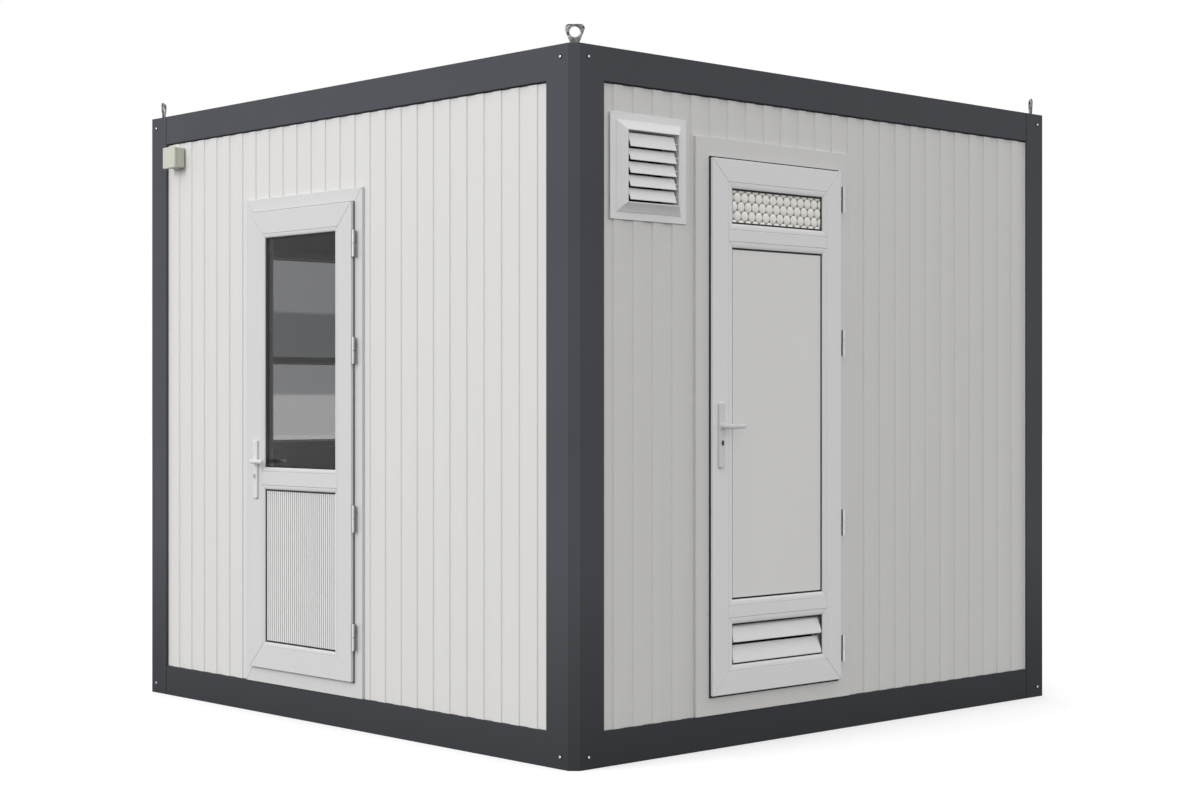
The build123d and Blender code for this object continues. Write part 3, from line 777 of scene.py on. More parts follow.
@dataclass
class SteelFrame:
    """Corner posts and rails of folded, powder-coated sheet, with the screws in the posts."""

    fold: float = 2.0
    edge: float = 1.5
    chamfer: float = 30.5
    # Open joint between a rail and a post. At the filled post the rails lap over its edge instead,
    # a hair proud of it, so that no joint shows there.
    seam: float = 4.0
    filled_seam: float = -3.0
    filler: float = 0.05
    filled_post: str = "post_front_right"
    # Black strip under the top rails, painted shade where the rails overhang the walls: its height, and how
    # far behind the ribs it reaches.
    shade_strip_height: float = 5.0
    shade_strip_back: float = 5.0
    screw_posts: dict[Wall, str] = field(default_factory=lambda: {
        Wall.FRONT: "post_front_right", Wall.RIGHT: "post_back_right"})
    screw_inset: float = 70.0
    screw_drop: float = 45.0
    washer: tuple[Flat, ...] = ((9.0, -0.5), (9.0, 0.8), (8.2, 1.4), (5.0, 1.4))
    head: tuple[Flat, ...] = (
        (5.4, 1.0), (5.4, 2.4), (4.8, 3.8), (3.2, 4.6), (2.2, 4.6), (1.8, 3.4), (0.4, 3.2))
    corners: tuple[str, ...] = ("post_front_right", "post_back_right", "post_back_left", "post_front_left")

    def post(self, wall: Wall, node: str) -> None:
        """Build the post at the right end of a wall.

        Args:
            wall: Wall that the post ends.
            node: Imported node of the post.
        """
        post = wall.span(node)
        depth = wall.span("bottom_rails").right - wall.span("floor_panel").right
        outline = [
            (post.right - self.chamfer, post.front), (post.right, post.front - self.chamfer),
            (post.right, post.back), (post.right - depth, post.back),
            (post.right - depth, post.front - depth), (post.left, post.front - depth),
            (post.left, post.front),
        ]
        draft = Draft(wall)
        draft.prism(rounded(outline, self.fold), Run.UP, post.low, post.high)
        draft.piece(f"folded_{node}", "booth", "anthracite_steel", [POWDER_COAT], [node], self.edge)

    def rails(self, node: str, dark_strip: float = 0.0) -> None:
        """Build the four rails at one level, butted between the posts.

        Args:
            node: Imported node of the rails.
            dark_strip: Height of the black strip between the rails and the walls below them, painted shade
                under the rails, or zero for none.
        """
        draft = Draft(Wall.FRONT)
        for number, (wall, corner) in enumerate(zip(Wall, self.corners)):
            draft.wall, draft.tint = wall, 0
            rail, end = wall.span(node), wall.span(corner).left
            posts = (self.corners[number - 1], corner)
            left, right = (self.filled_seam if post == self.filled_post else self.seam for post in posts)
            front = rail.front + (self.filler if self.filled_post in posts else 0.0)
            back, low = wall.span("floor_panel").front, rail.low + dark_strip
            outline = [(low, back), (low, front), (rail.high, front), (rail.high, back)]
            draft.prism(rounded(outline, self.fold), Run.ALONG, left - end, end - right)
            # The black strip under the rail is painted shade where the rail overhangs the wall.
            if dark_strip:
                draft.tint = 1
                draft.prism(box_outline(rail.low, low, back, -self.shade_strip_back), Run.ALONG, -end, end)
        draft.piece(f"folded_{node}", "booth", "anthracite_steel", [POWDER_COAT, RUBBER_AND_SHADE], [node])

    def screws(self) -> None:
        """Build the washer and head of each screw, two at each end of the front and the right wall."""
        draft = Draft(Wall.FRONT)
        for wall, corner in self.screw_posts.items():
            draft.wall, post = wall, wall.span(corner)
            for along in (self.screw_inset - post.right, post.right - self.screw_inset):
                for up in (post.low + self.screw_drop, post.high - self.screw_drop):
                    for tint, profile in enumerate((self.head, self.washer)):
                        draft.tint = tint
                        draft.turned((along, up, post.front), profile, Run.OUT)
        draft.piece("frame_screws", "booth", "galvanised_steel", [BRIGHT_ZINC, RUBBER_AND_SHADE])

    def build(self) -> None:
        """Build every piece of the frame."""
        for wall, corner in zip(Wall, self.corners):
            self.post(wall, corner)
        self.rails("bottom_rails")
        self.rails("top_rails", self.shade_strip_height)
        self.screws()


@dataclass
class LiftingEyes:
    """Forged eyes on the corner posts, each square to its corner's diagonal."""

    setback: float = 70.0
    half_thickness: float = 5.0
    half_base: float = 14.0
    half_top: float = 43.5
    corner: float = 15.0
    hole: float = 19.0
    hole_height: float = 46.0
    section_points: int = 14
    squareness: float = 0.75
    collar: tuple[Flat, ...] = ((21.0, -0.5), (21.0, 2.0), (18.0, 5.0), (9.0, 6.0))

    def outline(self, height: float) -> list[Flat]:
        """Outer edge of an eye, across and up from its foot.

        Args:
            height: Height of the eye.

        Returns:
            Points all round, close enough together for a smooth ring.
        """
        corners = [(-self.half_base, 0), (self.half_base, 0),
                   (self.half_top, height), (-self.half_top, height)]
        points = rounded(corners, self.corner)
        filled = []
        for here, there in zip(points, points[1:] + points[:1]):
            steps = max(1, ceil(hypot(there[0] - here[0], there[1] - here[1]) / self.half_thickness))
            for step in range(steps):
                share = step / steps
                filled.append((here[0] + share * (there[0] - here[0]),
                               here[1] + share * (there[1] - here[1])))
        return filled

    def eye(self, draft: Draft, post: Span, height: float) -> None:
        """Add one eye: a rounded ring between its outer edge and its hole.

        Args:
            draft: Mesh that takes the eye.
            post: Box of the post that it stands on.
            height: Height of the eye.
        """
        slant = sqrt(HALF)
        foot = (post.right - self.setback * slant, post.front - self.setback * slant)
        rings = []
        for across, up in self.outline(height):
            reach = hypot(across, up - self.hole_height)
            inner = (across * self.hole / reach,
                     self.hole_height + (up - self.hole_height) * self.hole / reach)
            ring = []
            for step in range(self.section_points):
                angle = TURN * step / self.section_points
                wide, deep = (abs(side) ** self.squareness * (1 if side > 0 else -1)
                              for side in (cos(angle), sin(angle)))
                deep *= self.half_thickness
                share = (1 + wide) * HALF
                x = inner[0] + share * (across - inner[0])
                z = inner[1] + share * (up - inner[1])
                ring.append((foot[0] + (x + deep) * slant, post.high + z, foot[1] + (deep - x) * slant))
            rings.append(ring)
        draft.loops(rings, closed=True)
        draft.turned((foot[0], post.high, foot[1]), self.collar, Run.UP)

    def build(self) -> None:
        """Build the four eyes as one piece."""
        draft = Draft(Wall.FRONT)
        for wall, corner in zip(Wall, SteelFrame().corners):
            draft.wall, post = wall, wall.span(corner)
            self.eye(draft, post, wall.span("lifting_eyes").high - post.high)
        draft.piece("forged_lifting_eyes", "booth", "galvanised_steel", [FORGED_ZINC_AND_REFLECTIONS], ["lifting_eyes"])


@dataclass
class RibbedWalls:
    """Sandwich walls: trapezoid ribs outside, fine grooves in the lining inside."""

    pitch: float = 100.0
    rib_top: float = 47.0
    slope: float = 3.0
    depth: float = 5.0
    bend: float = 1.5
    core_share: float = 0.5
    lining_groove: float = 3.0
    lining_depth: float = 1.5
    vent_sleeve_inset: float = 60.0
    shifts: dict[Wall, float] = field(default_factory=lambda: {
        Wall.FRONT: 0.45, Wall.RIGHT: 0.50, Wall.BACK: 0.45, Wall.LEFT: 0.50})
    nodes: dict[Wall, tuple[str, ...]] = field(default_factory=lambda: {
        Wall.FRONT: ("front_wall_left", "front_wall_right", "front_wall_over_door"),
        Wall.RIGHT: ("right_wall_front", "right_wall_back", "right_wall_over_door"),
        Wall.BACK: ("back_wall",),
        Wall.LEFT: ("left_wall_front", "left_wall_back", "left_wall_under_window", "left_wall_over_window")})

    def level(self, along: float, shift: float) -> float:
        """How far out the ribbed sheet lies at one place.

        Args:
            along: Place along the wall.
            shift: Share of a pitch that the first valley lies at.

        Returns:
            Distance out; the ribs are at zero and the valleys below it.
        """
        mouth = (self.pitch - self.rib_top) / 2
        off = abs((along / self.pitch - shift + HALF) % 1 - HALF) * self.pitch
        return -min(self.depth, max(0.0, self.depth * (mouth - off) / self.slope))

    def ribs(self, wall: Wall, stretch: Span) -> list[Flat]:
        """Plan of the ribbed outer half of a stretch of wall.

        Args:
            wall: Wall that it is part of.
            stretch: Box of the stretch.

        Returns:
            Points along and out.
        """
        shift, mouth = self.shifts[wall], (self.pitch - self.rib_top) / 2
        bends = []
        for number in range(floor(stretch.left / self.pitch) - 1, ceil(stretch.right / self.pitch) + 1):
            middle = (number + shift) * self.pitch
            for off in (-mouth, self.slope - mouth, mouth - self.slope, mouth):
                if stretch.left < middle + off < stretch.right:
                    bends.append((middle + off, self.level(middle + off, shift)))
        ends = [(along, self.level(along, shift)) for along in (stretch.left, stretch.right)]
        core = stretch.back * self.core_share
        return rounded([ends[0], *bends, ends[1]], self.bend, closed=False) + [
            (stretch.right, core), (stretch.left, core)]

    def lining(self, stretch: Span) -> list[Flat]:
        """Plan of the grooved inner half of a stretch of wall.

        Args:
            stretch: Box of the stretch.

        Returns:
            Points along and out.
        """
        core = stretch.back * self.core_share
        lining = [(stretch.left, core), (stretch.right, core), (stretch.right, stretch.back)]
        for number in range(floor(stretch.right / self.pitch), floor(stretch.left / self.pitch), -1):
            middle = number * self.pitch
            if stretch.left + self.lining_groove < middle < stretch.right - self.lining_groove:
                lining += [(middle + self.lining_groove, stretch.back),
                           (middle, stretch.back + self.lining_depth),
                           (middle - self.lining_groove, stretch.back)]
        return lining + [(stretch.left, stretch.back)]

    def round_vent(self, stretch: Span) -> list[Span]:
        """Split a stretch of the right wall round the vent's sleeve.

        Args:
            stretch: Box of the stretch.

        Returns:
            Boxes beside, below and above the sleeve.
        """
        hole = Wall.RIGHT.span("vent_frame").inset(self.vent_sleeve_inset)
        column = replace(stretch, left=hole.left, right=hole.right)
        return [replace(stretch, right=hole.left), replace(stretch, left=hole.right),
                replace(column, high=hole.low), replace(column, low=hole.high)]

    def build(self) -> None:
        """Build each wall as one piece made of its stretches."""
        for wall, nodes in self.nodes.items():
            draft = Draft(wall)
            for node in nodes:
                stretch = wall.span(node)
                for part in self.round_vent(stretch) if node == "right_wall_front" else [stretch]:
                    for tint, plan in enumerate((self.ribs(wall, part), self.lining(part))):
                        draft.tint = tint
                        draft.prism(plan, Run.UP, part.low, part.high)
            draft.piece(f"{wall.name.lower()}_wall_panels", "booth", "panel_coating",
                        [COIL_COAT, LINING], nodes)


@dataclass
class Glazing:
    """Beads, gaskets and panes that fill the openings of a sash or a window frame."""

    bead_edge: float = 0.8
    bead_clearance: float = 0.4
    bead_crown: tuple[Flat, ...] = ((0.62, 0.4), (0.36, 1.2), (0.16, 2.6), (0.05, 4.0), (0.0, 5.6))
    gasket_width: float = 7.0
    gasket_lap: float = 2.0
    gasket_proud: float = 1.2
    gasket_edge: float = 0.4
    pane_corner: float = 3.0
    pane_edge: float = 1.0
    mitre: float = 0.5

    def bead(self, draft: Draft, opening: Span, width: float, face: float, seat: float) -> None:
        """Add the sloped beads round one opening.

        Args:
            draft: Mesh that takes the beads.
            opening: Clear opening inside the beads.
            width: Width of the beads.
            face: Face of the bars beside them, as a distance out.
            seat: Face of the pane that they hold, as a distance out.
        """
        gap = self.bead_clearance
        crown = [(1, -share * width, max(face - drop, seat + gap)) for share, drop in self.bead_crown]
        section = [(0, gap, seat), (0, gap, face - gap), *crown, (1, 0, seat)]
        draft.bars(opening.inset(-width), opening, section, self.mitre)

    def gasket(self, draft: Draft, opening: Span, seat: float, way: float) -> None:
        """Add the rubber strip round one face of a pane.

        Args:
            draft: Mesh that takes the strip.
            opening: Clear opening inside the beads.
            seat: Face of the pane, as a distance out.
            way: 1 on the outer face, -1 on the inner one.
        """
        top = seat + way * self.gasket_proud
        section = [(0, 0, seat), (0, 0, top), (1, -self.gasket_proud, top), (1, 0, seat)]
        draft.ring(opening.inset(-self.gasket_lap), opening.inset(self.gasket_width), section)

    def pane(self, draft: Draft, pane: Span) -> None:
        """Add one thick pane with rounded corners.

        Args:
            draft: Mesh that takes the pane.
            pane: Box of the pane.
        """
        draft.prism(rounded(pane.outline(), self.pane_corner), Run.OUT, pane.back, pane.front)


@dataclass
class Fittings:
    """Hinges, handle plates and levers of a door."""

    hinge_radius: float = 5.4
    hinge_offset: float = 14.0
    hinge_half: float = 54.0
    hinge_split: float = 0.5
    hinge_cap: float = 3.0
    foot: Flat = (7.5, 3.5)
    foot_top: float = 28.0
    leaf: Flat = (12.0, 4.5)
    leaf_rise: float = 1.4
    edge_leaf: Flat = (18.0, 29.0)
    web_low: float = 18.0
    web_high: float = 25.0
    web_edge: float = 0.6
    plate_half: float = 16.0
    plate_above: float = 88.0
    plate_below: float = 157.0
    plate_thickness: float = 8.0
    plate_corner: float = 7.0
    plate_edge: float = 2.5
    plate_screw_inset: float = 12.0
    plate_screw: tuple[Flat, ...] = (
        (3.6, -0.5), (3.6, 0.3), (2.4, 0.7), (1.2, 0.7), (1.0, -0.2), (0.2, -0.3))
    keyhole_drop: float = 62.5
    keyhole: Flat = (7.5, 10.5)
    bush_wall: float = 1.6
    bush_proud: float = 1.4
    bush_sink: float = 1.0
    bush_arris: float = 0.5
    core_half: float = 0.5
    core_lap: float = 0.001
    rose: tuple[Flat, ...] = ((13.0, -0.5), (13.0, 2.0), (12.0, 3.0), (9.0, 3.2))
    neck: float = 8.6
    lever_reach: float = 43.0
    lever_length: float = 98.0
    lever_half_height: float = 9.6
    lever_half_thickness: float = 6.3
    lever_bend: float = 16.0
    lever_taper: float = 0.88
    lever_steps: int = 8
    lever_section: int = 20
    tip_shares: tuple[Flat, ...] = ((0.0, 1.0), (0.35, 0.94), (0.65, 0.78), (0.85, 0.55), (0.97, 0.25))

    def barrel(self, draft: Draft, along: float, out: float, level: float, way: float) -> None:
        """Add one half of a hinge barrel, with a rounded cap at its free end.

        Args:
            draft: Mesh that takes the barrel.
            along: Place of the hinge line.
            out: Distance out of the hinge line.
            level: Height of the split between the halves.
            way: 1 for the upper half, -1 for the lower one.
        """
        radius, end = self.hinge_radius, self.hinge_half - self.hinge_cap
        profile = [(radius - self.web_edge, way * self.hinge_split),
                   (radius, way * (self.hinge_split + self.web_edge)), (radius, way * end)]
        for step in range(1, ARC_STEPS):
            angle = QUARTER_TURN * step / ARC_STEPS
            profile.append((radius - self.hinge_cap * (1 - cos(angle)),
                            way * (end + self.hinge_cap * sin(angle))))
        profile.append((HALF * radius, way * self.hinge_half))
        draft.turned((along, level, out), profile, Run.UP)

    def plate(self, draft: Draft, spindle: Flat, face: float, way: float) -> None:
        """Add one long backplate.

        Args:
            draft: Mesh that takes the plate.
            spindle: Place of the spindle along and up.
            face: Face of the sash, as a distance out.
            way: 1 on the outer face, -1 on the inner one.
        """
        along, up = spindle
        outline = box_outline(along - self.plate_half, along + self.plate_half,
                              up - self.plate_below, up + self.plate_above)
        draft.prism(rounded(outline, self.plate_corner), Run.OUT, face, face + way * self.plate_thickness)

    def plate_trim(self, draft: Draft, spindle: Flat, face: float, way: float) -> None:
        """Add the screws, the rose and the keyhole of one plate, with the keyhole finish in the keyhole; on
        the washroom door it is painted shade.

        Args:
            draft: Mesh that takes the trim.
            spindle: Place of the spindle along and up.
            face: Face of the sash, as a distance out.
            way: 1 on the outer face, -1 on the inner one.
        """
        along, up = spindle
        top = face + way * self.plate_thickness
        draft.tint = 0
        high = up + self.plate_above - self.plate_screw_inset
        low = up - self.plate_below + self.plate_screw_inset
        for level, profile in ((high, self.plate_screw), (low, self.plate_screw), (up, self.rose)):
            draft.turned((along, level, top), [(radius, way * rise) for radius, rise in profile], Run.OUT)
        middle, (half_width, half_height) = (along, up - self.keyhole_drop), self.keyhole
        rim = oval(middle, half_width + self.bush_wall, half_height + self.bush_wall)
        mouth = oval(middle, half_width, half_height)
        proud = top + way * self.bush_proud
        floor_level = top + way * self.core_half
        levels = ((rim, top - way * self.bush_sink), (rim, proud - way * self.bush_arris),
                  (mouth, proud), (mouth, floor_level))
        draft.loops([[Run.OUT.point(*point, level) for point in ring] for ring, level in levels])
        # Fill of the keyhole in the keyhole finish, painted shade on the washroom door.
        draft.tint = 1
        draft.prism(mouth, Run.OUT, top - way * self.core_half, top + way * (self.core_half + self.core_lap))

    def lever(self, draft: Draft, spindle: Flat, face: float, way: float) -> None:
        """Add one lever: a round neck that bends into a flat bar with a rounded tip.

        Args:
            draft: Mesh that takes the lever.
            spindle: Place of the spindle along and up.
            face: Face of the sash, as a distance out.
            way: 1 on the outer face, -1 on the inner one.
        """
        line = self.lever_reach - self.lever_half_thickness
        path = [((0.0, self.plate_thickness), (0.0, 1.0), 0.0)]
        for step in range(self.lever_steps + 1):
            angle = QUARTER_TURN * step / self.lever_steps
            place = (self.lever_bend * (1 - cos(angle)), line - self.lever_bend * (1 - sin(angle)))
            path.append((place, (sin(angle), cos(angle)), step / self.lever_steps))
        rings = []
        for (reach, rise), (way_along, way_out), share in path:
            half_up = self.neck + share * (self.lever_half_height - self.neck)
            half_deep = self.neck + share * (self.lever_half_thickness - self.neck)
            rings.append(self.lever_ring(spindle, face, way, (reach, rise), (way_along, way_out),
                                         (half_up, half_deep)))
        tip = self.lever_half_height
        for tip_share, size in self.tip_shares:
            reach = self.lever_length - tip + tip * tip_share
            size *= self.lever_taper
            rings.append(self.lever_ring(spindle, face, way, (reach, line), (1.0, 0.0),
                                         (self.lever_half_height * size, self.lever_half_thickness * size)))
        draft.loops(rings)

    def lever_ring(self, spindle: Flat, face: float, way: float, place: Flat, heading: Flat,
                   halves: Flat) -> list[Point]:
        """Section of a lever at one place of its path.

        Args:
            spindle: Place of the spindle along and up.
            face: Face of the sash, as a distance out.
            way: 1 on the outer face, -1 on the inner one.
            place: Distances along and out from the spindle at the face.
            heading: Direction of the path, along and out.
            halves: Half of the section's height and of its depth.

        Returns:
            Points of the section.
        """
        ring = []
        for step in range(self.lever_section):
            angle = TURN * step / self.lever_section
            up, deep = halves[0] * sin(angle), halves[1] * cos(angle)
            ring.append((spindle[0] + place[0] - heading[1] * deep, spindle[1] + up,
                         face + way * (place[1] + heading[0] * deep)))
        return ring


@dataclass
class Door:
    """What both doors have: a casing, a mitred plastic sash, beads, hinges and handles."""

    name: str
    wall: Wall
    stile: float
    bead: float
    infills: tuple[str, ...]
    hinge_shares: tuple[float, ...]
    spindle_inset: float
    spindle_height: float
    casing_finish: Finish
    casing_slot: str
    casing_mitred: bool
    casing_cover: float
    sash_finish: Finish
    keyhole_finish: Finish
    seal_finish: Finish
    # How far the seal reaches past the sash's left, right, bottom and top edges: painted shadow lines beside
    # the sash
    shadow_reach: tuple[float, float, float, float]
    lip: float = 20.0
    lip_back: float = 17.0
    sash_gap: float = 8.0
    rebate: float = 13.0
    seat_back: float = -4.0
    seal_width: float = 12.0
    seal_top: float = 15.8
    seal_fall: float = 1.0
    casing_edge: float = 1.6
    sash_edge: float = 2.2
    mitre: float = 0.5
    clearance: float = 0.3
    glazing: Glazing = field(default_factory=Glazing)
    fittings: Fittings = field(default_factory=Fittings)

    def __post_init__(self) -> None:
        """Read the door's boxes from the frame."""
        self.casing = self.wall.span(f"{self.name}_frame")
        self.sash = self.wall.span(f"{self.name}_leaf")
        self.panes = [self.wall.span(f"{self.name}_{node}") for node in self.infills]
        self.openings = [pane.inset(self.rebate) for pane in self.panes]
        self.seat = self.panes[0].front
        self.spindle = (self.sash.left + self.spindle_inset, self.spindle_height)
        self.body, self.handle_body = f"{self.name}_door", f"{self.name}_handle"

    def all_openings(self) -> list[Span]:
        """Openings of the sash from the lowest up; a louvred door adds its own."""
        return self.openings

    def build_casing(self) -> None:
        """Build the fixed frame and the rubber seal that the sash closes on. Where the seal reaches past the
        sash's edges it is a painted shadow line beside the sash.
        """
        jamb, out = self.sash.inset(self.lip), self.clearance
        section = [(0, 0, out), (0, 0, self.casing.front), (1, 0, self.casing.front),
                   (1, 0, self.casing.back), (0, self.casing_cover, self.casing.back),
                   (0, self.casing_cover, out)]
        draft = Draft(self.wall)
        if self.casing_mitred:
            draft.bars(self.casing, jamb, section, self.mitre)
        else:
            draft.ring(self.casing, jamb, section)
        draft.piece(f"{self.name}_casing", "booth", self.casing_slot, [self.casing_finish],
                    [f"{self.name}_frame"], self.casing_edge)
        dark_strip = Draft(self.wall)
        # The seal is real under the sash's lip; where it reaches past the sash's edges it is a painted shadow
        # line.
        sash, (left, right, low, high) = self.sash, self.shadow_reach
        outer = replace(sash, left=sash.left - left, right=sash.right + right, low=sash.low - low,
                        high=sash.high + high)
        dark_strip.ring(outer, outer.inset(self.seal_width), [
            (0, 0, self.casing.front - out), (0, 0, self.seal_top), (1, 0, self.seal_top - self.seal_fall),
            (1, 0, self.casing.front - out)])
        dark_strip.piece(f"{self.name}_casing_seal", "booth", "hinge_metal", [self.seal_finish],
                   edge=self.glazing.gasket_edge)

    def build_sash(self) -> None:
        """Build the sash's mitred bars, its cross rails and the glazing beads."""
        sash, bead, back = self.sash, self.bead, self.lip + self.sash_gap
        section = [(0, 0, self.lip_back), (0, 0, sash.front), (1, 0, sash.front), (1, 0, self.seat_back),
                   (1, bead, self.seat_back), (1, bead, sash.back), (0, back, sash.back),
                   (0, back, self.lip_back)]
        draft = Draft(self.wall)
        draft.bars(sash, sash.inset(self.stile), section, self.mitre)
        openings = self.all_openings()
        for below, above in zip(openings, openings[1:]):
            low, high = below.high + bead, above.low - bead
            outline = [(low, sash.front), (high, sash.front),
                       (high, self.seat_back), (high + bead, self.seat_back),
                       (high + bead, sash.back + self.clearance), (low - bead, sash.back + self.clearance),
                       (low - bead, self.seat_back), (low, self.seat_back)]
            draft.prism(outline, Run.ALONG, sash.left + self.stile + self.clearance,
                        sash.right - self.stile - self.clearance)
        draft.piece(f"{self.name}_sash", self.body, "white_pvc", [self.sash_finish], [f"{self.name}_leaf"],
                    self.sash_edge)
        beads = Draft(self.wall)
        for opening in openings:
            self.glazing.bead(beads, opening, bead, sash.front, self.seat)
        beads.piece(f"{self.name}_glazing_beads", self.body, "white_pvc", [self.sash_finish],
                    edge=self.glazing.bead_edge)

    def build_gaskets(self) -> None:
        """Build the rubber strips round both faces of what fills the openings."""
        draft = Draft(self.wall)
        for opening in self.openings:
            self.glazing.gasket(draft, opening, self.seat, 1)
            self.glazing.gasket(draft, opening, self.seat_back, -1)
        draft.piece(f"{self.name}_gaskets", self.body, "hinge_metal", [RUBBER_AND_SHADE], edge=self.glazing.gasket_edge)

    def build_hinges(self) -> None:
        """Build the lower barrels on the casing and the upper ones on the sash."""
        kit, line = self.fittings, self.sash.right + self.fittings.hinge_offset
        pins, sleeves = Draft(self.wall), Draft(self.wall)
        for share in self.hinge_shares:
            level = self.sash.low + share * (self.sash.high - self.sash.low)
            low, high = level - kit.hinge_half, level + kit.hinge_half
            pins.tint = sleeves.tint = 0
            kit.barrel(pins, line, self.sash.front, level, -1)
            kit.barrel(sleeves, line, self.sash.front, level, 1)
            # Leaves, feet and webs in the darker grey: real parts, partly painted shade beside the barrels.
            pins.tint = sleeves.tint = 1
            foot = box_outline(line - kit.foot[0], line - kit.foot[1],
                               low + kit.hinge_cap, level - kit.hinge_split - kit.web_edge)
            pins.prism(foot, Run.OUT, self.casing.front, kit.foot_top)
            leaf = box_outline(line - kit.leaf[0], line - kit.leaf[1], low, high)
            pins.prism(leaf, Run.OUT, self.casing.front, self.casing.front + kit.leaf_rise)
            web = box_outline(self.sash.right, line,
                              level + kit.hinge_split + kit.web_edge, high - kit.hinge_cap)
            sleeves.prism(web, Run.OUT, kit.web_low, kit.web_high)
            leaf = box_outline(self.sash.right - kit.leaf_rise, self.sash.right + kit.leaf_rise, low, high)
            sleeves.prism(leaf, Run.OUT, *kit.edge_leaf)
        pins.piece(f"{self.name}_lower_barrels", "booth", "hinge_metal", [HINGE_STEEL, HINGE_LEAF_AND_SHADE],
                   [f"{self.name}_hinge_pins"])
        sleeves.piece(f"{self.name}_upper_barrels", self.body, "hinge_metal", [HINGE_STEEL, HINGE_LEAF_AND_SHADE],
                      [f"{self.name}_hinge_sleeves"])

    def build_handles(self) -> None:
        """Build the backplates, their trim and the pair of levers."""
        kit, plates, trim, levers = self.fittings, Draft(self.wall), Draft(self.wall), Draft(self.wall)
        for face, way in ((self.sash.front, 1), (self.sash.back, -1)):
            kit.plate(plates, self.spindle, face, way)
            kit.plate_trim(trim, self.spindle, face, way)
            kit.lever(levers, self.spindle, face, way)
        plates.piece(f"{self.name}_backplates", self.body, "handle_metal", [HANDLE_COAT],
                     [f"{self.name}_handle_plates"], kit.plate_edge)
        trim.piece(f"{self.name}_plate_trim", self.body, "handle_metal", [HANDLE_COAT, self.keyhole_finish])
        levers.piece(f"{self.name}_levers", self.handle_body, "handle_metal", [HANDLE_COAT],
                     [f"{self.name}_lever"])

    def build_infills(self) -> None:
        """Build what fills the sash; each door has its own."""
        raise NotImplementedError

    def build(self) -> None:
        """Build every piece of the door."""
        self.build_casing()
        self.build_sash()
        self.build_infills()
        self.build_gaskets()
        self.build_hinges()
        self.build_handles()


@dataclass
class EntranceDoor(Door):
    """Half-glazed door with a fluted lower panel."""

    flute_pitch: float = 14.4
    flute_half: float = 3.6
    flute_floor: float = 2.6
    flute_depth: float = 4.0
    flute_round: float = 0.8

    def build_infills(self) -> None:
        """Build the pane and the fluted panel."""
        fluted, glass = self.panes
        draft = Draft(self.wall)
        self.glazing.pane(draft, glass)
        draft.piece("entrance_pane", self.body, "tinted_glass", [TINTED_GLASS], ["entrance_glass"],
                    self.glazing.pane_edge)
        opening = self.openings[0]
        count = floor((opening.right - opening.left - 2 * self.flute_half) / self.flute_pitch)
        valleys = [opening.middle + (number - (count - 1) / 2) * self.flute_pitch for number in range(count)]
        floor_level = fluted.front - self.flute_depth
        starts = [fluted.left - self.flute_floor, *valleys]
        ends = [*valleys, fluted.right + self.flute_floor]
        panel = Draft(self.wall)
        for start, end in zip(starts, ends):
            strip = [(start + self.flute_floor, floor_level), (start + self.flute_half, fluted.front),
                     (end - self.flute_half, fluted.front), (end - self.flute_floor, floor_level)]
            panel.prism(rounded(strip, self.flute_round), Run.UP, fluted.low, fluted.high)
        # The back of the panel shows as the groove floors in a darker grey: painted shade in the grooves.
        panel.tint = 1
        panel.prism(fluted.outline(), Run.OUT, fluted.back, floor_level)
        panel.piece("entrance_fluted_panel", self.body, "white_pvc", [PURE_PVC, GROOVE_SHADE_PVC],
                    ["entrance_lower_panel"])


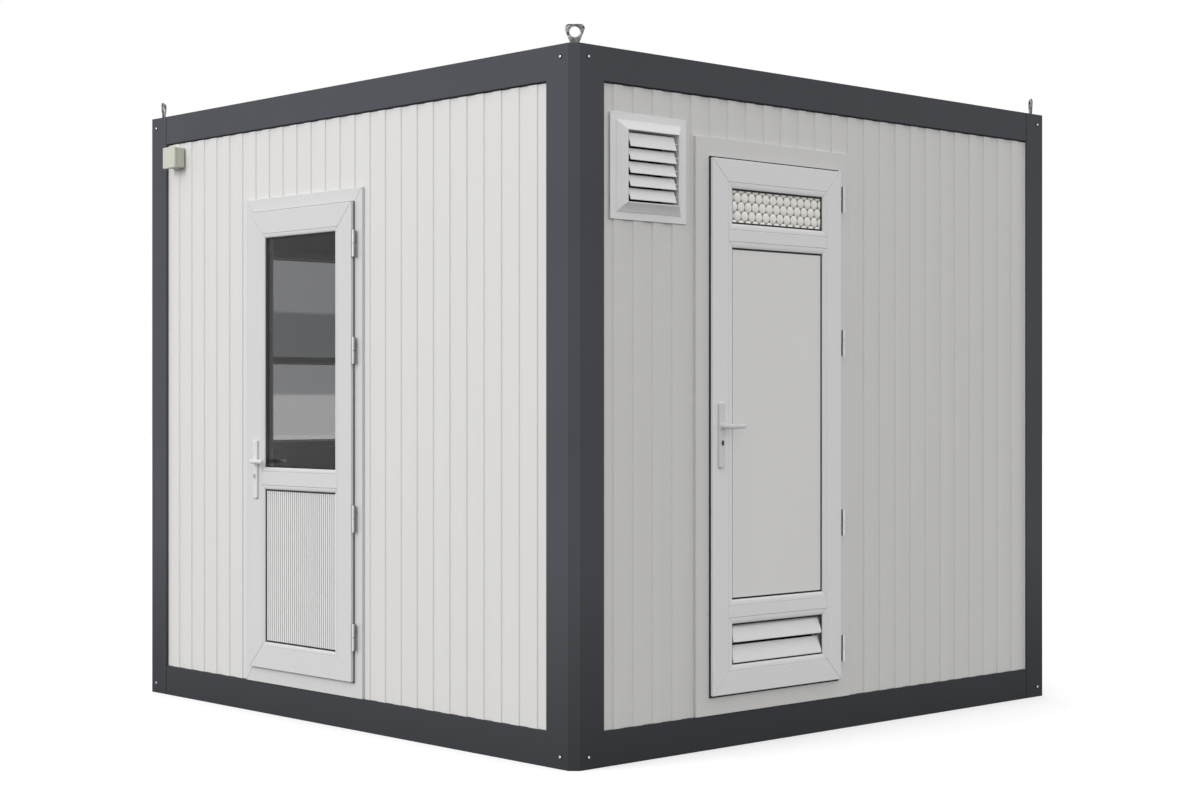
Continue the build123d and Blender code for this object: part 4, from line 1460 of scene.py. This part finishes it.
@dataclass
class WashroomDoor(Door):
    """Closed door with a bubble-glass transom above its panel and a louvre below it."""

    low_rail: float = 45.0
    bubble_pitch: float = 40.0
    bubble_radius: float = 19.4
    bubble_height: float = 5.0
    bubble_grid: float = 2.5
    plate_inset: float = 2.0
    plate_rise: float = 0.9
    panel_edge: float = 1.5
    blade_gap: float = 7.0
    blade_proud: float = 6.0
    blade_reach: float = 20.0
    blade_lip: float = 8.0
    blade_skin: float = 5.0
    blade_foot: float = 6.0
    blade_shadow: float = 11.0
    blade_count: int = 2
    blade_edge: float = 1.2
    pivot: float = 2.0

    def all_openings(self) -> list[Span]:
        """Openings of the sash from the lowest up, the louvre's first.

        Returns:
            The clear openings inside the beads.
        """
        panel, transom = self.openings
        louvre = replace(panel, low=self.sash.low + (self.stile + self.bead),
                         high=panel.low - self.low_rail - 2 * self.bead)
        return [louvre, panel, transom]

    def bubble_level(self, along: float, up: float, transom: Span) -> float:
        """Height of the bubble glass at one place, from lenses in rows set half a pitch apart.

        Args:
            along: Place along the wall.
            up: Height above the ground.
            transom: Opening of the transom, whose middle holds a lens.

        Returns:
            Height above the back of the lenses.
        """
        rise = self.bubble_pitch * TRIANGLE_HEIGHT
        row = round((up - transom.centre) / rise)
        nearest = self.bubble_pitch
        for number in (row - 1, row, row + 1):
            start = transom.middle + (self.bubble_pitch / 2 if number % 2 else 0)
            column = round((along - start) / self.bubble_pitch)
            nearest = min(nearest, hypot(along - start - column * self.bubble_pitch,
                                         up - transom.centre - number * rise))
        return self.bubble_height * sqrt(max(0.0, 1 - (nearest / self.bubble_radius) ** 2))

    def build_transom(self) -> None:
        """Build the bubble glass: a sheet of lenses over a dark plate, whose lines between the lenses are
        painted shade.
        """
        pane, transom = self.panes[1], self.openings[1]
        base = pane.front - self.bubble_height
        columns = ceil((pane.right - pane.left) / self.bubble_grid)
        rows = ceil((pane.high - pane.low) / self.bubble_grid)
        rings = []
        for row in range(rows + 1):
            up = pane.low + (pane.high - pane.low) * row / rows
            ring = []
            for column in range(columns + 1):
                along = pane.left + (pane.right - pane.left) * column / columns
                ring.append((along, up, base + self.bubble_level(along, up, transom)))
            ring += [(pane.right, up, pane.back), (pane.left, up, pane.back)]
            rings.append(ring)
        draft = Draft(self.wall)
        draft.loops(rings)
        draft.piece("washroom_bubble_glass", self.body, "obscure_glass", [BUBBLE_GLASS],
                    ["washroom_transom_glass"])
        # The dark plate rises just above the lens sheet between the lenses: painted shade in the crevices.
        plate = Draft(self.wall)
        plate.prism(pane.outline(), Run.OUT, pane.back + self.plate_inset, base + self.plate_rise)
        plate.piece("washroom_bubble_plate", self.body, "obscure_glass", [CREVICE_SHADE_PLATE])

    def build_louvre(self) -> None:
        """Build the sloped blades on their pivots."""
        opening = self.all_openings()[0]
        pitch = (opening.high - opening.low) / self.blade_count
        front, back = self.seat + self.blade_proud, self.seat + self.blade_proud - self.blade_reach
        drop = pitch - self.blade_lip - self.blade_shadow
        slope = drop / self.blade_reach
        skin = self.blade_skin * hypot(1, slope)
        draft = Draft(self.wall)
        for number in range(self.blade_count):
            foot = opening.low + number * pitch + self.blade_foot
            bend = foot + self.blade_lip
            outline = [(foot, front), (bend, front), (bend + drop, back), (bend + drop - skin, back),
                       (bend + slope * self.blade_skin - skin, front - self.blade_skin),
                       (foot, front - self.blade_skin)]
            draft.prism(outline, Run.ALONG, opening.left + self.blade_gap, opening.right - self.blade_gap)
            level, out = bend + (drop - skin) / 2, (front + back) / 2
            stub = box_outline(level - self.pivot, level + self.pivot, out - self.pivot, out + self.pivot)
            draft.prism(stub, Run.ALONG, opening.left, opening.right)
        draft.piece("washroom_louvre_blades", self.body, "white_pvc", [self.sash_finish], ["washroom_louvre"],
                    self.blade_edge)
        strip = Draft(self.wall)
        self.glazing.gasket(strip, opening, self.seat, 1)
        strip.piece("washroom_louvre_gasket", self.body, "hinge_metal", [RUBBER_AND_SHADE],
                    edge=self.glazing.gasket_edge)

    def build_infills(self) -> None:
        """Build the panel, the transom and the louvre."""
        pane = self.panes[0]
        panel = Draft(self.wall)
        panel.prism(pane.outline(), Run.OUT, pane.back, pane.front)
        panel.piece("washroom_flat_panel", self.body, "white_pvc", [DOOR_SHEET], ["washroom_panel"],
                    self.panel_edge)
        self.build_transom()
        self.build_louvre()


@dataclass
class VentGrille:
    """Square moulded vent: a flat rim, a raised bevel and five shutter blades on pivots."""

    wall: Wall = Wall.RIGHT
    rim: float = 28.0
    bevel: float = 33.0
    bevel_steps: int = 6
    lip: float = 3.0
    flange: float = 5.0
    upstand: float = 3.0
    sleeve: float = 4.0
    edge: float = 1.2
    clearance: float = 0.3
    blade_count: int = 5
    blade_reach: float = 18.0
    blade_height: float = 51.0
    blade_shadow: float = 8.0
    blade_nose: float = 2.0
    blade_flare: Flat = (5.0, 1.0)
    blade_skin: float = 2.8
    blade_gap: float = 12.0
    blade_edge: float = 0.9
    pivot: float = 2.0

    def cove(self, front: float) -> list[Point]:
        """Section of the raised bevel, which steepens a little towards the mouth.

        Args:
            front: Front of the surround, as a distance out.

        Returns:
            Points of the section, as for Draft.corner_section.
        """
        points = []
        foot = self.flange + self.upstand
        for step in range(self.bevel_steps + 1):
            share = step / self.bevel_steps
            rise = HALF * (share + 1 - cos(share * QUARTER_TURN))
            points.append((0, self.rim + self.bevel * share, foot + (front - foot) * rise))
        return points

    def build(self) -> None:
        """Build the surround and the blades."""
        vent = self.wall.span("vent_frame")
        mouth = self.rim + self.bevel + self.lip
        front = vent.front
        section = [
            (0, 0, self.clearance), (0, 0, self.flange), (0, self.rim, self.flange), *self.cove(front),
            (1, 0, front), (1, 0, vent.back), (1, -self.sleeve, vent.back), (1, -self.sleeve, self.clearance),
        ]
        draft = Draft(self.wall)
        opening = vent.inset(mouth)
        draft.ring(vent, opening, section)
        draft.piece("vent_surround", "booth", "vent_plastic", [VENT_ABS], ["vent_frame"], self.edge)
        blades = self.wall.span("vent_blades")
        pitch = (blades.high - blades.low - self.blade_height) / (self.blade_count - 1)
        rise, back = self.blade_flare
        shutters = Draft(self.wall)
        for number in range(self.blade_count):
            foot, out, skin = blades.low + number * pitch, blades.front, self.blade_skin
            top = foot + self.blade_height - (self.blade_shadow if number < self.blade_count - 1 else 0)
            outline = [(foot, out), (foot + self.blade_nose, out), (foot + rise, out - back),
                       (top, out - self.blade_reach + skin), (top, out - self.blade_reach),
                       (foot + rise - self.blade_nose, out - back - skin), (foot, out - skin)]
            shutters.prism(outline, Run.ALONG, opening.left + self.blade_gap, opening.right - self.blade_gap)
            level, deep = (foot + top) / 2, out - (back + self.blade_reach) / 2
            stub = box_outline(level - self.pivot, level + self.pivot, deep - self.pivot, deep + self.pivot)
            shutters.prism(stub, Run.ALONG, opening.left, opening.right)
        shutters.piece("vent_shutters", "booth", "vent_plastic", [VENT_ABS], ["vent_blades"], self.blade_edge)


@dataclass
class JunctionBox:
    """Small cable box: a body and a slightly larger lid."""

    wall: Wall = Wall.FRONT
    lid: float = 14.0
    lid_step: float = 2.5
    seam: float = 0.8
    corner: float = 6.0
    edge: float = 3.0

    def build(self) -> None:
        """Build the body, the lid and the neck between them as one piece."""
        box = self.wall.span("junction_box")
        body = box.inset(self.lid_step)
        draft = Draft(self.wall)
        split = box.front - self.lid
        for part, start, end in ((body, box.back, split - self.seam), (box, split, box.front),
                                 (body.inset(self.lid_step), split - self.edge, split + self.edge)):
            draft.prism(rounded(part.outline(), self.corner), Run.OUT, start, end)
        draft.piece("cable_box", "booth", "box_plastic", [BOX_ABS], ["junction_box"], self.edge)


@dataclass
class WindowSet:
    """Fixed window in the left wall: a plastic frame, a slim bar and two sealed units."""

    wall: Wall = Wall.LEFT
    face: float = 56.0
    cover: float = 25.0
    bar: float = 22.0
    bar_share: float = 0.442
    bead: float = 6.0
    bead_face: float = 8.0
    edge: float = 1.6
    mitre: float = 0.5
    clearance: float = 0.3
    glazing: Glazing = field(default_factory=lambda: Glazing(gasket_width=1.0, gasket_lap=1.0))

    def build(self) -> None:
        """Build the frame, the bar, the beads, the gaskets and the glass."""
        window, glass = self.wall.span("window_frame"), self.wall.span("window_glass")
        light = window.inset(self.face)
        bar_middle = light.low + self.bar_share * (light.high - light.low)
        out = self.clearance
        section = [(0, 0, out), (0, 0, window.front), (1, 0, window.front), (1, 0, window.back),
                   (0, self.cover, window.back), (0, self.cover, out)]
        draft = Draft(self.wall)
        draft.bars(window, light, section, self.mitre)
        low, high = bar_middle - self.bar / 2, bar_middle + self.bar / 2
        draft.prism([(low, window.back + out), (low, window.front - out), (high, window.front - out),
                     (high, window.back + out)], Run.ALONG, light.left, light.right)
        draft.piece("window_surround", "booth", "white_pvc", [WHITE_PVC], ["window_frame"], self.edge)
        unit = replace(light, back=glass.back, front=glass.front)
        lights = [replace(unit, high=low), replace(unit, low=high)]
        beads, gaskets = Draft(self.wall), Draft(self.wall)
        for opening in lights:
            clear = opening.inset(self.bead)
            self.glazing.bead(beads, clear, self.bead, glass.front + self.bead_face, glass.front)
            self.glazing.gasket(gaskets, clear, glass.front, 1)
            self.glazing.gasket(gaskets, clear, glass.back, -1)
        beads.piece("window_glazing_beads", "booth", "white_pvc", [WHITE_PVC], edge=self.glazing.bead_edge)
        gaskets.piece("window_gaskets", "booth", "hinge_metal", [RUBBER_AND_SHADE], edge=self.glazing.gasket_edge)
        lower, upper = Draft(self.wall), Draft(self.wall)
        self.glazing.pane(lower, lights[0])
        self.glazing.pane(upper, lights[1])
        arris = self.glazing.pane_edge
        lower.piece("window_lower_pane", "booth", "tinted_glass", [PALE_SOLAR_GLASS], ["window_glass"], arris)
        upper.piece("window_upper_pane", "booth", "tinted_glass", [SOLAR_GLASS], edge=arris)


@dataclass
class Deck:
    """Floor and roof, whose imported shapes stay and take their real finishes."""

    finishes: dict[str, Finish] = field(default_factory=lambda: {
        "floor_joists": PINE, "floor_panel": FLOOR_VINYL, "ceiling_panel": LINING, "roof_sheet": GALVANISED})

    def dress(self) -> None:
        """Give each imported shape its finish."""
        for node, finish in self.finishes.items():
            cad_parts[node].material_slots[0].material = finish.material()
            LOG.info("%s: dressed in %s", node, finish.name)


@dataclass
class Studio:
    """Pale floor, a soft lamp, white surroundings and the camera."""

    camera_place: Point = (6.909, -6.430, 1.311)
    camera_heading: Point = (-0.73017, 0.68327, 0.0)
    lens: float = 63.1
    sensor: float = 36.0
    shift_up: float = 0.0007
    floor_half: float = 60.0
    floor_colour: str = "#cbcbcb"
    floor_bounce: str = "#5c5c5c"
    floor_fill: float = 0.45
    ambient: float = 1.13
    key_place: Point = (-3.0, -18.0, 9.0)
    key_size: float = 9.0
    key_power: float = 1450.0
    target: Point = (0.0, 0.0, 1.3)

    def seen(self, tree: bpy.types.NodeTree) -> bpy.types.NodeSocket:
        """Tell rays that see the background from those that carry light.

        Args:
            tree: Node tree that asks.

        Returns:
            Output that is 1 for camera, glossy and transmission rays.
        """
        path = add_node(tree, "ShaderNodeLightPath")
        first = add_node(tree, "ShaderNodeMath", {"operation": "MAXIMUM"}, {
            0: path.outputs["Is Camera Ray"], 1: path.outputs["Is Glossy Ray"]})
        return add_node(tree, "ShaderNodeMath", {"operation": "MAXIMUM"}, {
            0: first.outputs[0], 1: path.outputs["Is Transmission Ray"]}).outputs[0]

    def build_world(self) -> None:
        """Light the cabin evenly from all round, and show white behind it."""
        world = bpy.data.worlds.new("white_surroundings")
        bpy.context.scene.world = world
        world.use_nodes = True
        tree = world.node_tree
        tree.nodes.clear()
        light, white = (
            add_node(tree, "ShaderNodeBackground", inputs={"Color": linear(WHITE), "Strength": strength})
            for strength in (self.ambient, 1.0))
        mix = add_node(tree, "ShaderNodeMixShader", inputs={
            "Fac": self.seen(tree), 1: light.outputs[0], 2: white.outputs[0]})
        add_node(tree, "ShaderNodeOutputWorld", inputs={"Surface": mix.outputs[0]})

    def build_floor(self) -> None:
        """Lay the floor: pale, white where it is lit, and darker in the cabin's shadow."""
        half = self.floor_half
        mesh = bpy.data.meshes.new("studio_floor")
        corners = [(x, y, 0.0) for x, y in box_outline(-half, half, -half, half)]
        mesh.from_pydata(corners, [], [range(len(corners))])
        finish = bpy.data.materials.new("pale_floor")
        finish.use_nodes = True
        tree = finish.node_tree
        tree.nodes.clear()
        matt = add_node(tree, "ShaderNodeBsdfDiffuse", inputs={"Color": linear(self.floor_colour)})
        fill = add_node(tree, "ShaderNodeEmission", inputs={
            "Color": linear(WHITE), "Strength": self.floor_fill})
        both = add_node(tree, "ShaderNodeAddShader", inputs={0: matt.outputs[0], 1: fill.outputs[0]})
        bounce = add_node(tree, "ShaderNodeBsdfDiffuse", inputs={"Color": linear(self.floor_bounce)})
        mix = add_node(tree, "ShaderNodeMixShader", inputs={
            "Fac": self.seen(tree), 1: bounce.outputs[0], 2: both.outputs[0]})
        add_node(tree, "ShaderNodeOutputMaterial", inputs={"Surface": mix.outputs[0]})
        mesh.materials.append(finish)
        floor_piece = bpy.data.objects.new("studio_floor", mesh)
        bpy.context.scene.collection.objects.link(floor_piece)

    def build_lamp(self) -> None:
        """Hang one large soft lamp that faces the cabin."""
        light = bpy.data.lights.new("key_lamp", "AREA")
        light.size, light.energy = self.key_size, self.key_power
        lamp = bpy.data.objects.new("key_lamp", light)
        lamp.location = self.key_place
        heading = Vector(self.target) - Vector(self.key_place)
        lamp.rotation_euler = heading.to_track_quat("-Z", "Y").to_euler()
        bpy.context.scene.collection.objects.link(lamp)

    def build_camera(self) -> None:
        """Stand the camera level, at the height of a person's chest."""
        lens = bpy.data.cameras.new("camera")
        lens.lens, lens.sensor_width, lens.shift_y = self.lens, self.sensor, self.shift_up
        camera = bpy.data.objects.new("camera", lens)
        camera.location = self.camera_place
        camera.rotation_euler = Vector(self.camera_heading).to_track_quat("-Z", "Y").to_euler()
        bpy.context.scene.collection.objects.link(camera)
        bpy.context.scene.camera = camera

    def build(self) -> None:
        """Set up the whole studio."""
        bpy.context.scene.view_settings.view_transform = "Standard"
        self.build_world()
        self.build_floor()
        self.build_lamp()
        self.build_camera()


def doors() -> list[Door]:
    """The cabin's two doors.

    Returns:
        The entrance in the front wall and the washroom door in the right wall.
    """
    return [
        EntranceDoor(
            name="entrance", wall=Wall.FRONT, stile=94.0, bead=17.0, infills=("lower_panel", "glass"),
            hinge_shares=(0.094, 0.340, 0.690, 0.913), spindle_inset=52.0, spindle_height=1058.0,
            casing_finish=WHITE_PVC, casing_slot="white_pvc", casing_mitred=True, casing_cover=25.0,
            sash_finish=WHITE_PVC, keyhole_finish=NICKEL, seal_finish=GREY_RUBBER_AND_SHADE,
            shadow_reach=(1.0, 0.6, 4.0, 3.4)),
        WashroomDoor(
            name="washroom", wall=Wall.RIGHT, stile=86.0, bead=23.0, infills=("panel", "transom_glass"),
            hinge_shares=(0.060, 0.308, 0.662, 0.945), spindle_inset=44.0, spindle_height=1215.0,
            casing_finish=COIL_COAT, casing_slot="panel_coating", casing_mitred=False, casing_cover=48.0,
            sash_finish=PURE_PVC, keyhole_finish=KEYHOLE_SHADE, seal_finish=RUBBER_AND_SHADE,
            shadow_reach=(3.5, 0.0, 8.0, 6.0)),
    ]


def main() -> None:
    """Build the cabin in order, then the studio."""
    logging.basicConfig(level=logging.INFO, format="%(message)s")
    SteelFrame().build()
    LiftingEyes().build()
    RibbedWalls().build()
    for door in doors():
        door.build()
    VentGrille().build()
    JunctionBox().build()
    WindowSet().build()
    Deck().dress()
    Studio().build()


if __name__ == "__main__":
    main()
